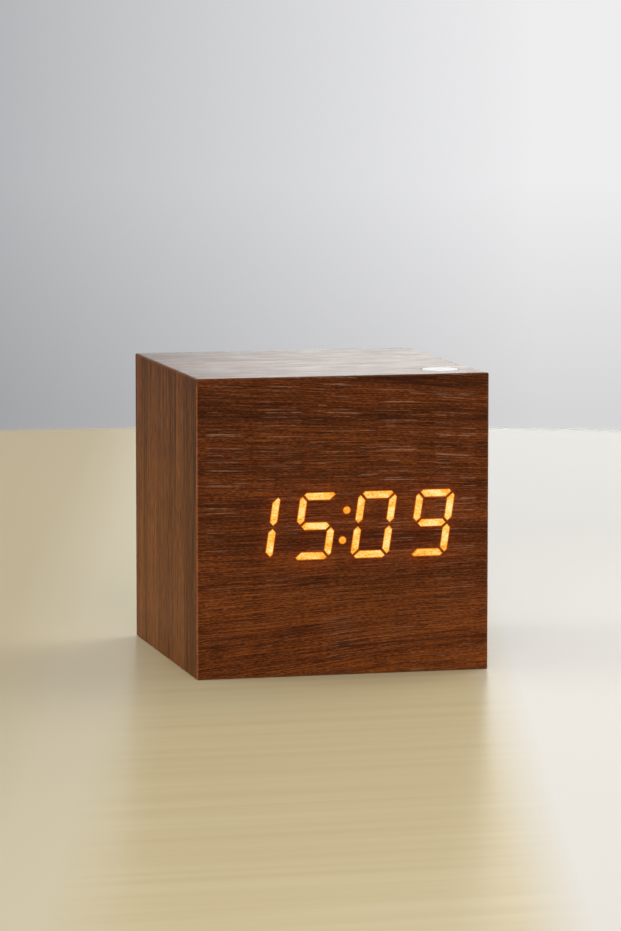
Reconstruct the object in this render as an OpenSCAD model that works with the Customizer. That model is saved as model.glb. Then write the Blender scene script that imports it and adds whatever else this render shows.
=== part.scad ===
// Wooden cube alarm clock. A veneered fibreboard box holds an amber seven-segment display
// that shines through the thin front veneer. A black cover with the battery bay, the setting
// keys and the power socket closes the back.
// The origin is at the middle of the base. +Z is up and the display looks along -Y.

/* [Case] */
// Outside width, left to right
case_w = 68; // [62:0.5:80]
// Outside depth, front to back
case_d = 68; // [60:0.5:90]
// Outside height
case_h = 68; // [62:0.5:80]
// Thickness of the fibreboard walls
board_t = 3; // [2.5:0.25:4]
// Thickness of the veneer sheets
veneer_t = 0.5; // [0.3:0.05:0.8]
// Radius of the eased outside edges
edge_r = 0.5; // [0.2:0.05:0.8]
// Side of the square glue blocks behind the cover's corners
block_side = 6; // [5.5:0.25:7]
// Length of the glue blocks
block_l = 14; // [10:1:20]

/* [Display] */
// The time shown, as four digits
shown_time = "1509"; // 4
// Height of a digit, outside its segments
digit_h = 15.24; // [13:0.1:17]
// Width of a digit, outside its segments, before the slant
digit_w = 9.04; // [7.5:0.1:9.5]
// Distance from one digit to the next
digit_pitch = 13.55; // [13:0.05:13.8]
// Width of a segment
stroke = 1.75; // [1.2:0.05:2.2]
// Gap between neighbouring segments
segment_gap = 0.42; // [0.3:0.02:0.7]
// Cut at the sharp outer tips of the segments
tip_cut = 0.55; // [0.2:0.05:0.6]
// Lean of the digits, in degrees
digit_slant = 8.3; // [0:0.1:10]
// Diameter of the colon's dots
dot_d = 1.78; // [1.2:0.02:2.2]
// Distance between the colon's dots
dot_spread = 6.8; // [5:0.1:8]
// Middle of the display, to the right of the front's middle
display_shift = 0.23; // [-0.3:0.01:0.3]
// Middle of the display, above the front's middle
display_rise = 0.15; // [-2:0.05:2]
// Rim of the display block beside the digits
block_rim_x = 0.8; // [0.5:0.1:2]
// Rim of the display block above and below the digits
block_rim_z = 2.3; // [1.5:0.1:3]
// Depth of the display block, from the veneer to the main board
display_t = 5; // [4.5:0.1:8]
// Depth of the diffusers that fill the segment wells
diffuser_t = 1.6; // [1:0.1:3]

/* [Main board] */
// Thickness of both circuit boards
pcb_t = 1.6; // [1:0.2:2]
// Gap between the board and the side walls
pcb_side_gap = 0.75; // [0.5:0.05:2]
// Gap between the board and the top wall
pcb_top_gap = 2; // [1.6:0.1:3]
// Gap between the board and the bottom wall
pcb_bottom_gap = 8; // [6:0.5:9]
// Distance of the board's screws from its side edges
pcb_screw_inset = 3.2; // [3:0.1:4]
// Distance of the upper screws below the board's top edge
pcb_screw_drop = 10; // [9:0.25:10.5]
// Distance of the lower screws above the board's bottom edge
pcb_screw_lift = 3.5; // [3:0.25:5]

/* [Top button] */
// Diameter of the white disc
button_d = 8.6; // [6:0.1:9]
// Distance of the button's axis from the right face
button_from_right = 8.8; // [8:0.1:20]
// Distance of the button's axis from the front face
button_from_front = 10.1; // [10:0.1:14]
// How far the disc stands above the top
button_proud = 0.1; // [0.05:0.05:1]
// Thickness of the disc
button_t = 1.65; // [1.2:0.05:2]
// Diameter of the stem under the disc
button_stem_d = 4.4; // [3:0.1:5]
// Travel of the button
button_travel = 0.3; // [0.2:0.05:0.4]

/* [Rear cover] */
// Depth of the cover's face below the back of the case
cover_recess = 1; // [0.8:0.1:3]
// Thickness of the cover and of the battery door
cover_t = 2; // [1.8:0.1:2.6]
// Gap between the cover and the walls
cover_gap = 0.25; // [0.15:0.05:0.5]
// Radius of the cover's corners
cover_corner_r = 1; // [0.5:0.1:2]
// Gap round the battery door
door_gap = 0.2; // [0.15:0.05:0.3]
// Width of the ledges above and below the cells that the door closes on
door_ledge = 0.7; // [0.5:0.05:1]
// Width of the lips that cover the contacts beside the door
door_lip = 1.2; // [0.8:0.1:1.6]
// Diameter of the door's pivots
pivot_d = 1.2; // [0.8:0.05:1.3]
// Length of the door's pivots
pivot_l = 1.4; // [1:0.05:1.6]
// Radial clearance of the pivots
pivot_clear = 0.06; // [0.03:0.01:0.1]
// Length of a slot that lets the sound out
sound_slot_l = 5; // [3:0.25:6]
// Width of a slot that lets the sound out
sound_slot_w = 1.2; // [0.8:0.1:1.5]

/* [Batteries] */
// Diameter of a cell
cell_d = 10.5; // [9.5:0.05:11]
// Length of a cell with its cap
cell_l = 44.5; // [40:0.1:47]
// Clearance round a cell
cell_clear = 0.2; // [0.1:0.05:0.3]
// Length of the loaded contact springs
spring_l = 4.5; // [3.5:0.1:6]
// Wire of the contact springs
spring_wire = 0.6; // [0.4:0.05:0.7]
// Turns of a contact spring
spring_turns = 3; // [2:0.5:3]
// Thickness of the contact plates
contact_t = 0.4; // [0.3:0.05:0.5]
// Wall of the battery tub
tub_wall = 1.8; // [1.4:0.1:2.5]
// Floor of the battery tub
tub_floor = 1.2; // [1:0.1:2]
// Height of the tub above the bottom wall
tub_lift = 6.5; // [6.2:0.1:8]

/* [Keys and socket] */
// Diameter of a setting key
key_d = 5.4; // [4:0.1:5.6]
// Distance from one key to the next
key_pitch = 7.6; // [7.2:0.1:8.4]
// How far a key stands out of the cover
key_proud = 0.8; // [0.6:0.1:1]
// Travel of a key
key_travel = 0.5; // [0.2:0.05:0.6]
// Place of the middle key, to the right of the middle seen from the front
key_row_x = 5; // [4:0.1:6]
// Radial clearance of the keys and of the socket's nose
key_clear = 0.15; // [0.1:0.01:0.25]
// Place of the power socket, to the right of the middle seen from the front
jack_x = -11.6; // [-13:0.1:-10.8]
// Outside diameter of the power socket's nose
jack_d = 6.8; // [6:0.1:7.4]
// Bore of the power socket
jack_bore = 3.8; // [3:0.1:4]
// Diameter of the socket's centre pin
jack_pin_d = 1.3; // [1:0.1:1.6]

/* [Hidden] */
$fn = 48;
cut = 1; // overshoot of a cut past the face that it opens

// Colours
walnut = "#5c2c12";
side_walnut = "#6b4226";
fibreboard = "#b08a5e";
pine = "#d2b48c";
amber = "#ffb52e";
dark_plastic = "#1d1d1f";
key_plastic = "#2e2e31";
white_plastic = "#f2f2f0";
diffuser_white = "#e8e2d2";
board_green = "#1f5c38";
steel = "#b8bbc0";
nickel = "#cfc9b8";
chip_black = "#26262a";
cell_jacket = "#3a5f8a";
cable_grey = "#9a9ca0";
sleeve_blue = "#20304a";
wire_red = "#b3261e";
wire_black = "#1b1b1b";

// Case
wall = board_t + veneer_t;
cavity_w = case_w - 2 * wall;
cavity_h = case_h - 2 * wall;
front_y = -case_d / 2;
rear_y = case_d / 2;
inside_y = front_y + wall; // back of the front board
ceiling_z = case_h - wall;
glue_gap = 0.05; // round a screw in its pilot hole
mitre_gap = 0.04; // hairline where two strips of edge veneer meet

// Display
half_w = digit_w / 2;
half_h = digit_h / 2;
gap_shift = segment_gap / sqrt(2); // a mitred gap, measured along a segment
display_x = display_shift;
display_back = front_y + veneer_t + display_t;
display_z = case_h / 2 + display_rise;
display_w = 3 * digit_pitch + digit_w + digit_h * tan(digit_slant) + 2 * block_rim_x;
display_h = digit_h + 2 * block_rim_z;
window_gap = 0.2;
led_size = [1.2, 0.8, 0.6];
// Segments lit for the digits 0 to 9, numbered clockwise from the top bar, with the middle bar last
lit_segments = [
    "012345", "12", "01346", "01236", "1256", "02356", "023456", "012", "0123456", "012356"
];

// Main board, behind the display
pcb_w = cavity_w - 2 * pcb_side_gap;
pcb_top = ceiling_z - pcb_top_gap;
pcb_bottom = wall + pcb_bottom_gap;
pcb_back = display_back + pcb_t;
pcb_screw_x = pcb_w / 2 - pcb_screw_inset;
pcb_screw_rows = [pcb_bottom + pcb_screw_lift, pcb_top - pcb_screw_drop];
pcb_screw_d = 2.2;
pcb_screw_end = 1; // of board left ahead of a screw's tip
pcb_screw_bite = board_t - pcb_screw_end;
pcb_hole_d = 2.7;
spacer_d = 4.4;
spacer_play = 0.1; // round a screw
screw_head_t = 1.4;
screw_head_ratio = 1.95; // head to shank
screw_cross_span = 0.62; // of the head's diameter
screw_cross_w = 0.16; // of the head's diameter
screw_cross_t = 0.5;
// Parts on the board's back, set in from its edges and from one another
coin_d = 20;
coin_t = 3.2;
coin_can_share = 0.8; // of the cell's thickness
coin_step = 1.2; // from the can to the cap
coin_holder_rim = 1.2;
coin_holder_floor = 1;
coin_play = 0.15;
coin_side_inset = 2.4;
coin_foot_inset = 1.8;
coin_holder_d = coin_d + 2 * (coin_play + coin_holder_rim);
coin_x = -pcb_w / 2 + coin_side_inset + coin_holder_d / 2;
coin_z = pcb_bottom + coin_foot_inset + coin_holder_d / 2;
chip_leg_share = 0.4; // of the legs' pitch
chip_leg_reach = 1.1;
chip_leg_rise = 0.5; // of the chip's thickness
chip_lift = 0.1;
chip_gap = 1; // above the coin cell's holder
control_chip_size = [17.8, 2.2, 7.4];
control_chip_legs = 14;
control_chip_inset = 8;
control_chip_x = -pcb_w / 2 + control_chip_inset + control_chip_size.x / 2;
chip_row_z = coin_z + coin_holder_d / 2 + chip_gap + chip_leg_reach + control_chip_size.z / 2;
driver_chip_size = [10, 1.6, 4];
driver_chip_legs = 8;
driver_chip_inset = 9;
driver_chip_x = pcb_w / 2 - driver_chip_inset - driver_chip_size.x / 2;
crystal_d = 2;
crystal_l = 6;
crystal_gap = 1; // beside the control chip
crystal_x = control_chip_x + control_chip_size.x / 2 + crystal_gap + crystal_d / 2;
microphone_d = 6;
microphone_t = 4;
microphone_face_d = 4.4;
microphone_face_sink = 0.3;
microphone_inset = 2.8; // below the board's top edge
microphone_gap = 0.6; // beside a screw's head
microphone_x = (pcb_screw_d * screw_head_ratio + microphone_d) / 2 + microphone_gap - pcb_screw_x;
sounder_d = 12;
sounder_t = 9.5;
sounder_hole_d = 2;
sounder_hole_l = 3;
sounder_side_inset = 6.6;
sounder_foot_inset = 3;
capacitor_d = 5;
capacitor_l = 9;
capacitor_inset = 2.5;
capacitor_gap = 4; // above the sounder

// Top button
button_x = case_w / 2 - button_from_right;
button_y = front_y + button_from_front;
button_clear = 0.15;
button_ease = 0.2;
button_floor_gap = 0.4; // under the pressed disc
ring_t = 0.8;
ring_rim = 1;
ring_d = button_stem_d + 2 * ring_rim;
ring_grip = 0.02; // round the stem
stem_tail = 0.4; // past the ring
stem_end = ceiling_z - ring_t - stem_tail;
switch_side = 6;
switch_body_t = 3.5;
switch_plunger_d = 3.4;
switch_plunger_l = 1.6; // above the switch's body
switch_plunger_sink = 1; // inside the body
switch_play = 0.1; // round a plunger
switch_floor_gap = 0.3; // under a pressed plunger
top_switch_size = [switch_side, 2 * (button_y - pcb_back), switch_body_t];
top_switch_z = stem_end - switch_plunger_l;

// Rear cover
cover_y = rear_y - cover_recess;
plate_y = cover_y - cover_t;
cover_w = cavity_w - 2 * cover_gap;
cover_h = cavity_h - 2 * cover_gap;
cover_screw_d = 2.2;
cover_screw_l = 10; // of its pilot hole
screw_tip_gap = 0.5; // at the bottom of a pilot hole
cover_hole_d = 2.6;
head_room = 0.2; // round a screw's head
head_sink = 1; // depth of the screw heads' seats
block_x = cavity_w / 2 - block_side / 2;
block_rows = [wall + block_side / 2, ceiling_z - block_side / 2];

// Batteries, three in series
cell_count = 3;
cell_spacing = 0.5; // from cell to cell
cell_pitch = cell_d + cell_spacing;
tub_in_l = cell_l + spring_l + 2 * contact_t;
tub_in_w = (cell_count - 1) * cell_pitch + cell_d + 2 * cell_clear;
tub_out_l = tub_in_l + 2 * tub_wall;
tub_out_w = tub_in_w + 2 * tub_wall;
tub_z = wall + tub_lift + tub_out_w / 2;
cell_play = 0.4; // between the cells and the door
cell_y = plate_y - cell_play - cell_d / 2;
tub_in_y = cell_y - cell_d / 2 - cell_clear;
tub_out_y = tub_in_y - tub_floor;
end_room_play = 0.4;
tub_end_room = spring_l + contact_t + end_room_play;
contact_w = 9;
contact_h = 9.4;
lug_w = 2.5;
lug_play = 0.3;
lug_reach = 2.5; // past the tub's floor
cap_d = 3.8;
cap_t = 0.8;

// Battery door
opening_w = tub_in_l - 2 * door_lip;
opening_h = tub_in_w + 2 * door_ledge;
door_w = opening_w - 2 * door_gap;
door_h = opening_h - 2 * door_gap;
seat_gap = 0.1; // between the door and its ledge
hinge_y = cover_y - cover_t / 2;
hinge_z = tub_z - door_h / 2 + cover_t / 2;
nib_x = 12;
nib_w = 5;
nib_t = 0.6;
nib_bite = 0.3;
pocket_play = 0.2;
pivot_end_gap = 0.1;
notch_d = 11; // finger notch above the door
notch_sink = 1.2;
door_corner_r = 0.8;
grip_groove = [14, 0.4, 0.8];
grip_pitch = 1.6;
grip_drop = 3.6; // of the first groove below the door's edge
grip_count = 3;
sound_slot_count = 7;

// Keys and power socket, in the strip above the batteries
key_z = (tub_z + tub_out_w / 2 + ceiling_z) / 2;
key_xs = [key_row_x + key_pitch, key_row_x, key_row_x - key_pitch]; // set, up, down
key_ease = 0.4;
key_flange_rim = 0.7;
key_flange_d = key_d + 2 * key_flange_rim;
key_flange_t = 1;
key_stem_d = 3;
key_stem_l = 1;
key_y = plate_y - key_flange_t - key_stem_l - switch_body_t - switch_plunger_l; // back of the key board
key_board_gap = 0.5; // beside the glue blocks
key_board_w = cavity_w - 2 * (block_side + key_board_gap);
key_board_h = 10.2;
boss_d = 3.6;
boss_gap = 1; // beside the glue blocks
boss_x = cavity_w / 2 - block_side - boss_gap - boss_d / 2;
boss_screw_d = 1.7;
boss_screw_play = 0.2;
boss_screw_l = 5;
jack_side = 8.6;
jack_gap = 0.4; // between its body and the cover
jack_body_t = plate_y - key_y - jack_gap;
jack_set_back = 0.3; // of the nose behind the cover's face
jack_depth = 7.5;
jack_pin_set_back = 1; // of the pin behind the nose

// Ribbon cable between the two boards
ribbon_x = -1;
ribbon_w = 7.6;
ribbon_t = 0.9;
header_size = [10, 5.6, 5];
ribbon_sag = 6;
ribbon_steps = 24;

// Leads from the battery contacts to the key board
lead_d = 1.3;
lead_sides = 8;
lead_pad_drop = 2.6;
lead_pad_inset = 5; // from the boss
lead_bend = 3;

// Shapes that are used more than once

module rounded_rect(w, h, r) {
    square([w - 2 * r, h], center = true);
    square([w, h - 2 * r], center = true);
    for (x = [-1, 1], y = [-1, 1]) translate([x * (w / 2 - r), y * (h / 2 - r)]) circle(r);
}

// An outline drawn in x and z, standing at y and reaching t towards the front
module slab_y(y, t) {
    translate([0, y, 0]) rotate([90, 0, 0]) linear_extrude(t) children();
}

// A rod that starts here and points to the front
module rod_y(d, l) {
    rotate([90, 0, 0]) cylinder(d = d, h = l);
}

// A flat sheet, face up at z = 0, mitred at its edges, the back edge only if back_mitre is set
module mitred_sheet(w, d, t, back_mitre = true) {
    back = back_mitre ? t : 0;
    intersection() {
        rotate([90, 0, 0]) linear_extrude(d, center = true)
            polygon([[-w / 2, 0], [w / 2, 0], [w / 2 - t, -t], [-w / 2 + t, -t]]);
        rotate([90, 0, 90]) linear_extrude(w, center = true)
            polygon([[-d / 2, 0], [d / 2, 0], [d / 2 - back, -t], [-d / 2 + t, -t]]);
    }
}

module on_top() { translate([0, 0, case_h]) children(); }
module on_bottom() { rotate([0, 180, 0]) children(); }
module on_left() { translate([-case_w / 2, 0, case_h / 2]) rotate([0, -90, 0]) children(); }
module on_right() { translate([case_w / 2, 0, case_h / 2]) rotate([0, 90, 0]) children(); }
module on_front() { translate([0, front_y, case_h / 2]) rotate([90, 0, 0]) children(); }
module on_rear() { translate([0, rear_y, case_h / 2]) rotate([-90, 0, 0]) children(); }

// The outside of the case with its eased edges
module case_envelope() {
    translate([0, 0, case_h / 2]) intersection() {
        linear_extrude(case_h, center = true) rounded_rect(case_w, case_d, edge_r);
        rotate([90, 0, 0]) linear_extrude(case_d, center = true) rounded_rect(case_w, case_h, edge_r);
        rotate([90, 0, 90]) linear_extrude(case_w, center = true) rounded_rect(case_d, case_h, edge_r);
    }
}

module wall_board(span) {
    translate([0, 0, -veneer_t])
        mitred_sheet(span - 2 * veneer_t, case_d - 2 * veneer_t, board_t, back_mitre = false);
}

// A pan-head screw with a cross recess, its shank pointing to the front
module screw_y(d, l) {
    head_d = d * screw_head_ratio;
    slot = [head_d * screw_cross_span, 2 * screw_cross_t, head_d * screw_cross_w];
    difference() {
        union() {
            rod_y(d, l);
            translate([0, screw_head_t, 0]) rod_y(head_d, screw_head_t);
        }
        for (turn = [0, 90]) translate([0, screw_head_t, 0]) rotate([0, turn, 0]) cube(slot, center = true);
    }
}

// Points of a segment before the slant: 0 top, 1 and 2 right, 3 bottom, 4 and 5 left, 6 middle
function top_bar() = let (tip = half_w - gap_shift, inner = half_w - stroke - gap_shift) [
    [-tip + 2 * tip_cut, half_h], [tip - 2 * tip_cut, half_h], [tip - tip_cut, half_h - tip_cut],
    [inner, half_h - stroke], [-inner, half_h - stroke], [-tip + tip_cut, half_h - tip_cut]
];
function upper_left_bar() = let (tip = half_h - gap_shift, foot = stroke / 2 + gap_shift) [
    [-half_w, tip - 2 * tip_cut], [-half_w + tip_cut, tip - tip_cut], [-half_w + stroke, tip - stroke],
    [-half_w + stroke, foot], [-half_w + stroke / 2, gap_shift], [-half_w, foot]
];
function middle_bar() = let (tip = half_w - stroke / 2 - gap_shift, shoulder = tip - stroke / 2) [
    [-tip, 0], [-shoulder, stroke / 2], [shoulder, stroke / 2],
    [tip, 0], [shoulder, -stroke / 2], [-shoulder, -stroke / 2]
];
function flipped(points, x, z) = [for (p = points) [p.x * x, p.y * z]];
function segment_points(i) =
    i == 0 ? top_bar() :
    i == 1 ? flipped(upper_left_bar(), -1, 1) :
    i == 2 ? flipped(upper_left_bar(), -1, -1) :
    i == 3 ? flipped(top_bar(), 1, -1) :
    i == 4 ? flipped(upper_left_bar(), 1, -1) :
    i == 5 ? upper_left_bar() : middle_bar();
function segment_middle(i) =
    i == 0 ? [0, half_h - stroke / 2] :
    i == 3 ? [0, -half_h + stroke / 2] :
    i == 6 ? [0, 0] : [(i < 3 ? 1 : -1) * (half_w - stroke / 2), (i == 1 || i == 5 ? 1 : -1) * half_h / 2];
function slanted(p) = [p.x + p.y * tan(digit_slant), p.y];
function digit_x(place) = (place - 1.5) * digit_pitch;
function value(numeral) = ord(numeral) - ord("0");

module segment(place, i) {
    translate([digit_x(place), 0]) polygon([for (p = segment_points(i)) slanted(p)]);
}

module colon_dots() {
    for (side = [-1, 1]) translate(slanted([0, side * dot_spread / 2])) circle(d = dot_d);
}

module lit_shapes() {
    for (place = [0:3], numeral = lit_segments[value(shown_time[place])]) segment(place, value(numeral));
    colon_dots();
}

module all_shapes() {
    for (place = [0:3], i = [0:6]) segment(place, i);
    colon_dots();
}

// Moves a drawing to the middle of the display
module at_display() {
    translate([display_x, 0, display_z]) children();
}

// Case

module front_board() {
    color(fibreboard) difference() {
        on_front() translate([0, 0, -veneer_t])
            mitred_sheet(case_w - 2 * veneer_t, case_h - 2 * veneer_t, board_t);
        at_display() slab_y(inside_y + cut, board_t + 2 * cut)
            square([display_w + 2 * window_gap, display_h + 2 * window_gap], center = true);
        for (x = [-1, 1], z = pcb_screw_rows) translate([x * pcb_screw_x, inside_y + cut, z])
            rod_y(pcb_screw_d + 2 * glue_gap, pcb_screw_bite + cut + glue_gap);
    }
}

// Well for the disc and hole for the stem of the top button
module button_bore() {
    well_t = button_t - button_proud + button_travel + button_floor_gap;
    translate([button_x, button_y, case_h - well_t])
        cylinder(d = button_d + 2 * button_clear, h = well_t + cut);
    translate([button_x, button_y, ceiling_z - cut])
        cylinder(d = button_stem_d + 2 * button_clear, h = wall + 2 * cut);
}

module top_board() {
    color(fibreboard) difference() {
        on_top() wall_board(case_w);
        button_bore();
    }
}

module bottom_board() { color(fibreboard) on_bottom() wall_board(case_w); }
module left_board() { color(fibreboard) on_left() wall_board(case_h); }
module right_board() { color(fibreboard) on_right() wall_board(case_h); }

module front_veneer() {
    color(walnut) difference() {
        intersection() {
            on_front() mitred_sheet(case_w, case_h, veneer_t);
            case_envelope();
        }
        at_display() slab_y(front_y + veneer_t + cut, veneer_t + 2 * cut) lit_shapes();
    }
}

module top_veneer() {
    color(walnut) difference() {
        intersection() {
            on_top() mitred_sheet(case_w, case_d, veneer_t);
            case_envelope();
        }
        button_bore();
    }
}

module bottom_veneer() {
    color(walnut) intersection() {
        on_bottom() mitred_sheet(case_w, case_d, veneer_t);
        case_envelope();
    }
}

module left_veneer() {
    color(side_walnut) intersection() {
        on_left() mitred_sheet(case_h, case_d, veneer_t);
        case_envelope();
    }
}

module right_veneer() {
    color(side_walnut) intersection() {
        on_right() mitred_sheet(case_h, case_d, veneer_t);
        case_envelope();
    }
}

// Four strips over the back edges of the boards, mitred where they meet
module rear_edge_veneer() {
    corner_x = case_w / 2;
    corner_z = case_h / 2;
    inner_x = cavity_w / 2;
    inner_z = cavity_h / 2;
    upright_z = corner_z - mitre_gap;
    upright_inner_z = inner_z - mitre_gap;
    color(walnut) for (side = [-1, 1]) {
        edge_strip([[side * corner_x, -upright_z], [side * corner_x, upright_z],
            [side * inner_x, upright_inner_z], [side * inner_x, -upright_inner_z]]);
        edge_strip([[-corner_x, side * corner_z], [corner_x, side * corner_z],
            [inner_x, side * inner_z], [-inner_x, side * inner_z]]);
    }
}

module edge_strip(outline) {
    intersection() {
        on_rear() mitred_sheet(case_w, case_h, veneer_t);
        case_envelope();
        translate([0, 0, case_h / 2]) slab_y(rear_y, veneer_t) polygon(outline);
    }
}

module corner_blocks() {
    color(pine) for (x = [-block_x, block_x], z = block_rows) difference() {
        translate([x - block_side / 2, plate_y - block_l, z - block_side / 2])
            cube([block_side, block_l, block_side]);
        translate([x, plate_y + cut, z]) rod_y(cover_screw_d + 2 * glue_gap, cover_screw_l + cut);
    }
}

// Display

// The patches of the front veneer that the light comes through
module lit_digits() {
    color(amber) at_display() slab_y(front_y + veneer_t, veneer_t) lit_shapes();
}

module display_block() {
    color(dark_plastic) at_display() difference() {
        slab_y(display_back, display_t) square([display_w, display_h], center = true);
        slab_y(display_back + cut, display_t + 2 * cut) all_shapes();
    }
}

module segment_diffusers() {
    color(diffuser_white) at_display() slab_y(front_y + veneer_t + diffuser_t, diffuser_t) all_shapes();
}

// One light on the board at the foot of each well
module segment_leds() {
    color(nickel) at_display() {
        for (place = [0:3], i = [0:6]) {
            spot = slanted(segment_middle(i));
            lying = i == 0 || i == 3 || i == 6;
            translate([digit_x(place) + spot.x, display_back - led_size.z / 2, spot.y])
                rotate([0, lying ? 0 : 90 + digit_slant, 0])
                    cube([led_size.x, led_size.z, led_size.y], center = true);
        }
        for (side = [-1, 1]) {
            spot = slanted([0, side * dot_spread / 2]);
            translate([spot.x, display_back - led_size.z / 2, spot.y])
                cube([led_size.y, led_size.z, led_size.y], center = true);
        }
    }
}

// Main board

module main_board() {
    color(board_green) difference() {
        translate([-pcb_w / 2, display_back, pcb_bottom]) cube([pcb_w, pcb_t, pcb_top - pcb_bottom]);
        for (x = [-1, 1], z = pcb_screw_rows) translate([x * pcb_screw_x, pcb_back + cut, z])
            rod_y(pcb_hole_d, pcb_t + 2 * cut);
    }
}

module main_board_screws() {
    color(steel) for (x = [-1, 1], z = pcb_screw_rows) translate([x * pcb_screw_x, pcb_back, z])
        screw_y(pcb_screw_d, pcb_back - inside_y + pcb_screw_bite);
}

// Sleeves on the screws between the board and the wood
module board_spacers() {
    spacer_t = display_back - inside_y;
    color(white_plastic) for (x = [-1, 1], z = pcb_screw_rows) translate([x * pcb_screw_x, display_back, z])
        difference() {
            rod_y(spacer_d, spacer_t);
            translate([0, cut, 0]) rod_y(pcb_screw_d + 2 * spacer_play, spacer_t + 2 * cut);
        }
}

// A place on the board's back
module on_board(x, z) {
    translate([x, pcb_back, z]) children();
}

// A chip with a row of legs along each long side, lying on the board
module chip(size, legs) {
    leg_pitch = size.x / legs;
    leg = [leg_pitch * chip_leg_share, size.y * chip_leg_rise, chip_leg_reach];
    translate([-size.x / 2, chip_lift, -size.z / 2]) cube(size);
    for (i = [0:legs - 1], side = [-1, 1])
        translate([(i - (legs - 1) / 2) * leg_pitch, leg.y / 2, side * (size.z + leg.z) / 2])
            cube(leg, center = true);
}

module control_chip() {
    color(chip_black) on_board(control_chip_x, chip_row_z) chip(control_chip_size, control_chip_legs);
}

module driver_chip() {
    color(chip_black) on_board(driver_chip_x, chip_row_z) chip(driver_chip_size, driver_chip_legs);
}

module crystal() {
    color(nickel) on_board(crystal_x, chip_row_z) translate([0, crystal_d / 2, 0])
        cylinder(d = crystal_d, h = crystal_l, center = true);
}

module microphone() {
    z = pcb_top - microphone_inset - microphone_d / 2;
    color(steel) on_board(microphone_x, z) translate([0, microphone_t, 0]) difference() {
        rod_y(microphone_d, microphone_t);
        translate([0, cut, 0]) rod_y(microphone_face_d, microphone_face_sink + cut);
    }
}

module sounder() {
    x = pcb_w / 2 - sounder_side_inset - sounder_d / 2;
    z = pcb_bottom + sounder_foot_inset + sounder_d / 2;
    color(dark_plastic) on_board(x, z) translate([0, sounder_t, 0]) difference() {
        rod_y(sounder_d, sounder_t);
        translate([0, cut, 0]) rod_y(sounder_hole_d, sounder_hole_l + cut);
    }
}

// A cup that is open at the top, so that the cell can be slid out
module coin_cell_holder() {
    rim_y = coin_holder_floor + coin_t;
    room_d = coin_d + 2 * coin_play;
    color(dark_plastic) on_board(coin_x, coin_z) difference() {
        translate([0, rim_y, 0]) rod_y(coin_holder_d, rim_y);
        translate([0, rim_y + cut, 0]) rod_y(room_d, coin_t + cut);
        translate([-coin_d / 4, coin_holder_floor, coin_d / 4]) cube([coin_d / 2, coin_t + cut, coin_d]);
    }
}

module coin_cell() {
    can_t = coin_t * coin_can_share;
    color(steel) on_board(coin_x, coin_z) translate([0, coin_holder_floor, 0]) {
        translate([0, coin_t - can_t, 0]) rod_y(coin_d - 2 * coin_step, coin_t - can_t);
        translate([0, coin_t, 0]) rod_y(coin_d, can_t);
    }
}

module capacitor() {
    x = pcb_w / 2 - capacitor_inset - capacitor_d / 2;
    z = pcb_bottom + sounder_foot_inset + sounder_d + capacitor_gap + capacitor_d / 2;
    color(sleeve_blue) on_board(x, z) translate([0, capacitor_l, 0]) rod_y(capacitor_d, capacitor_l);
}

// Top button

module top_switch() {
    well_t = switch_plunger_sink + button_travel + switch_floor_gap;
    color(chip_black) translate([button_x, button_y, top_switch_z]) difference() {
        translate([0, 0, -top_switch_size.z / 2]) cube(top_switch_size, center = true);
        translate([0, 0, -well_t]) cylinder(d = switch_plunger_d + 2 * switch_play, h = well_t + cut);
    }
}

module top_switch_plunger() {
    color(white_plastic) translate([button_x, button_y, top_switch_z - switch_plunger_sink])
        cylinder(d = switch_plunger_d, h = switch_plunger_sink + switch_plunger_l);
}

module top_button() {
    top_z = case_h + button_proud;
    color(white_plastic) translate([button_x, button_y, 0]) {
        translate([0, 0, top_z - button_ease])
            cylinder(d1 = button_d, d2 = button_d - 2 * button_ease, h = button_ease);
        translate([0, 0, top_z - button_t]) cylinder(d = button_d, h = button_t - button_ease);
        translate([0, 0, stem_end]) cylinder(d = button_stem_d, h = top_z - button_t - stem_end);
    }
}

// Push-on ring that keeps the button from coming out
module top_button_ring() {
    color(steel) translate([button_x, button_y, ceiling_z - ring_t]) difference() {
        cylinder(d = ring_d, h = ring_t);
        translate([0, 0, -cut]) cylinder(d = button_stem_d + 2 * ring_grip, h = ring_t + 2 * cut);
    }
}

// Rear cover

module rear_cover() {
    color(dark_plastic) difference() {
        union() {
            translate([0, 0, case_h / 2]) slab_y(cover_y, cover_t)
                rounded_rect(cover_w, cover_h, cover_corner_r);
            translate([-tub_out_l / 2, tub_out_y, tub_z - tub_out_w / 2])
                cube([tub_out_l, plate_y - tub_out_y, tub_out_w]);
            for (x = [-boss_x, boss_x]) translate([x, plate_y, key_z]) rod_y(boss_d, plate_y - key_y);
        }
        door_seat();
        battery_bay();
        for (x = [-block_x, block_x], z = block_rows) translate([x, cover_y + cut, z]) {
            rod_y(cover_hole_d, cover_t + 2 * cut);
            rod_y(cover_screw_d * screw_head_ratio + 2 * head_room, head_sink + cut);
        }
        for (x = key_xs) translate([x, cover_y + cut, key_z]) rod_y(key_d + 2 * key_clear, cover_t + 2 * cut);
        translate([jack_x, cover_y + cut, key_z]) rod_y(jack_d + 2 * key_clear, cover_t + 2 * cut);
        for (x = [-boss_x, boss_x]) translate([x, key_y + boss_screw_l, key_z])
            rod_y(boss_screw_d + 2 * glue_gap, boss_screw_l + cut);
        sound_slots();
    }
}

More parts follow.
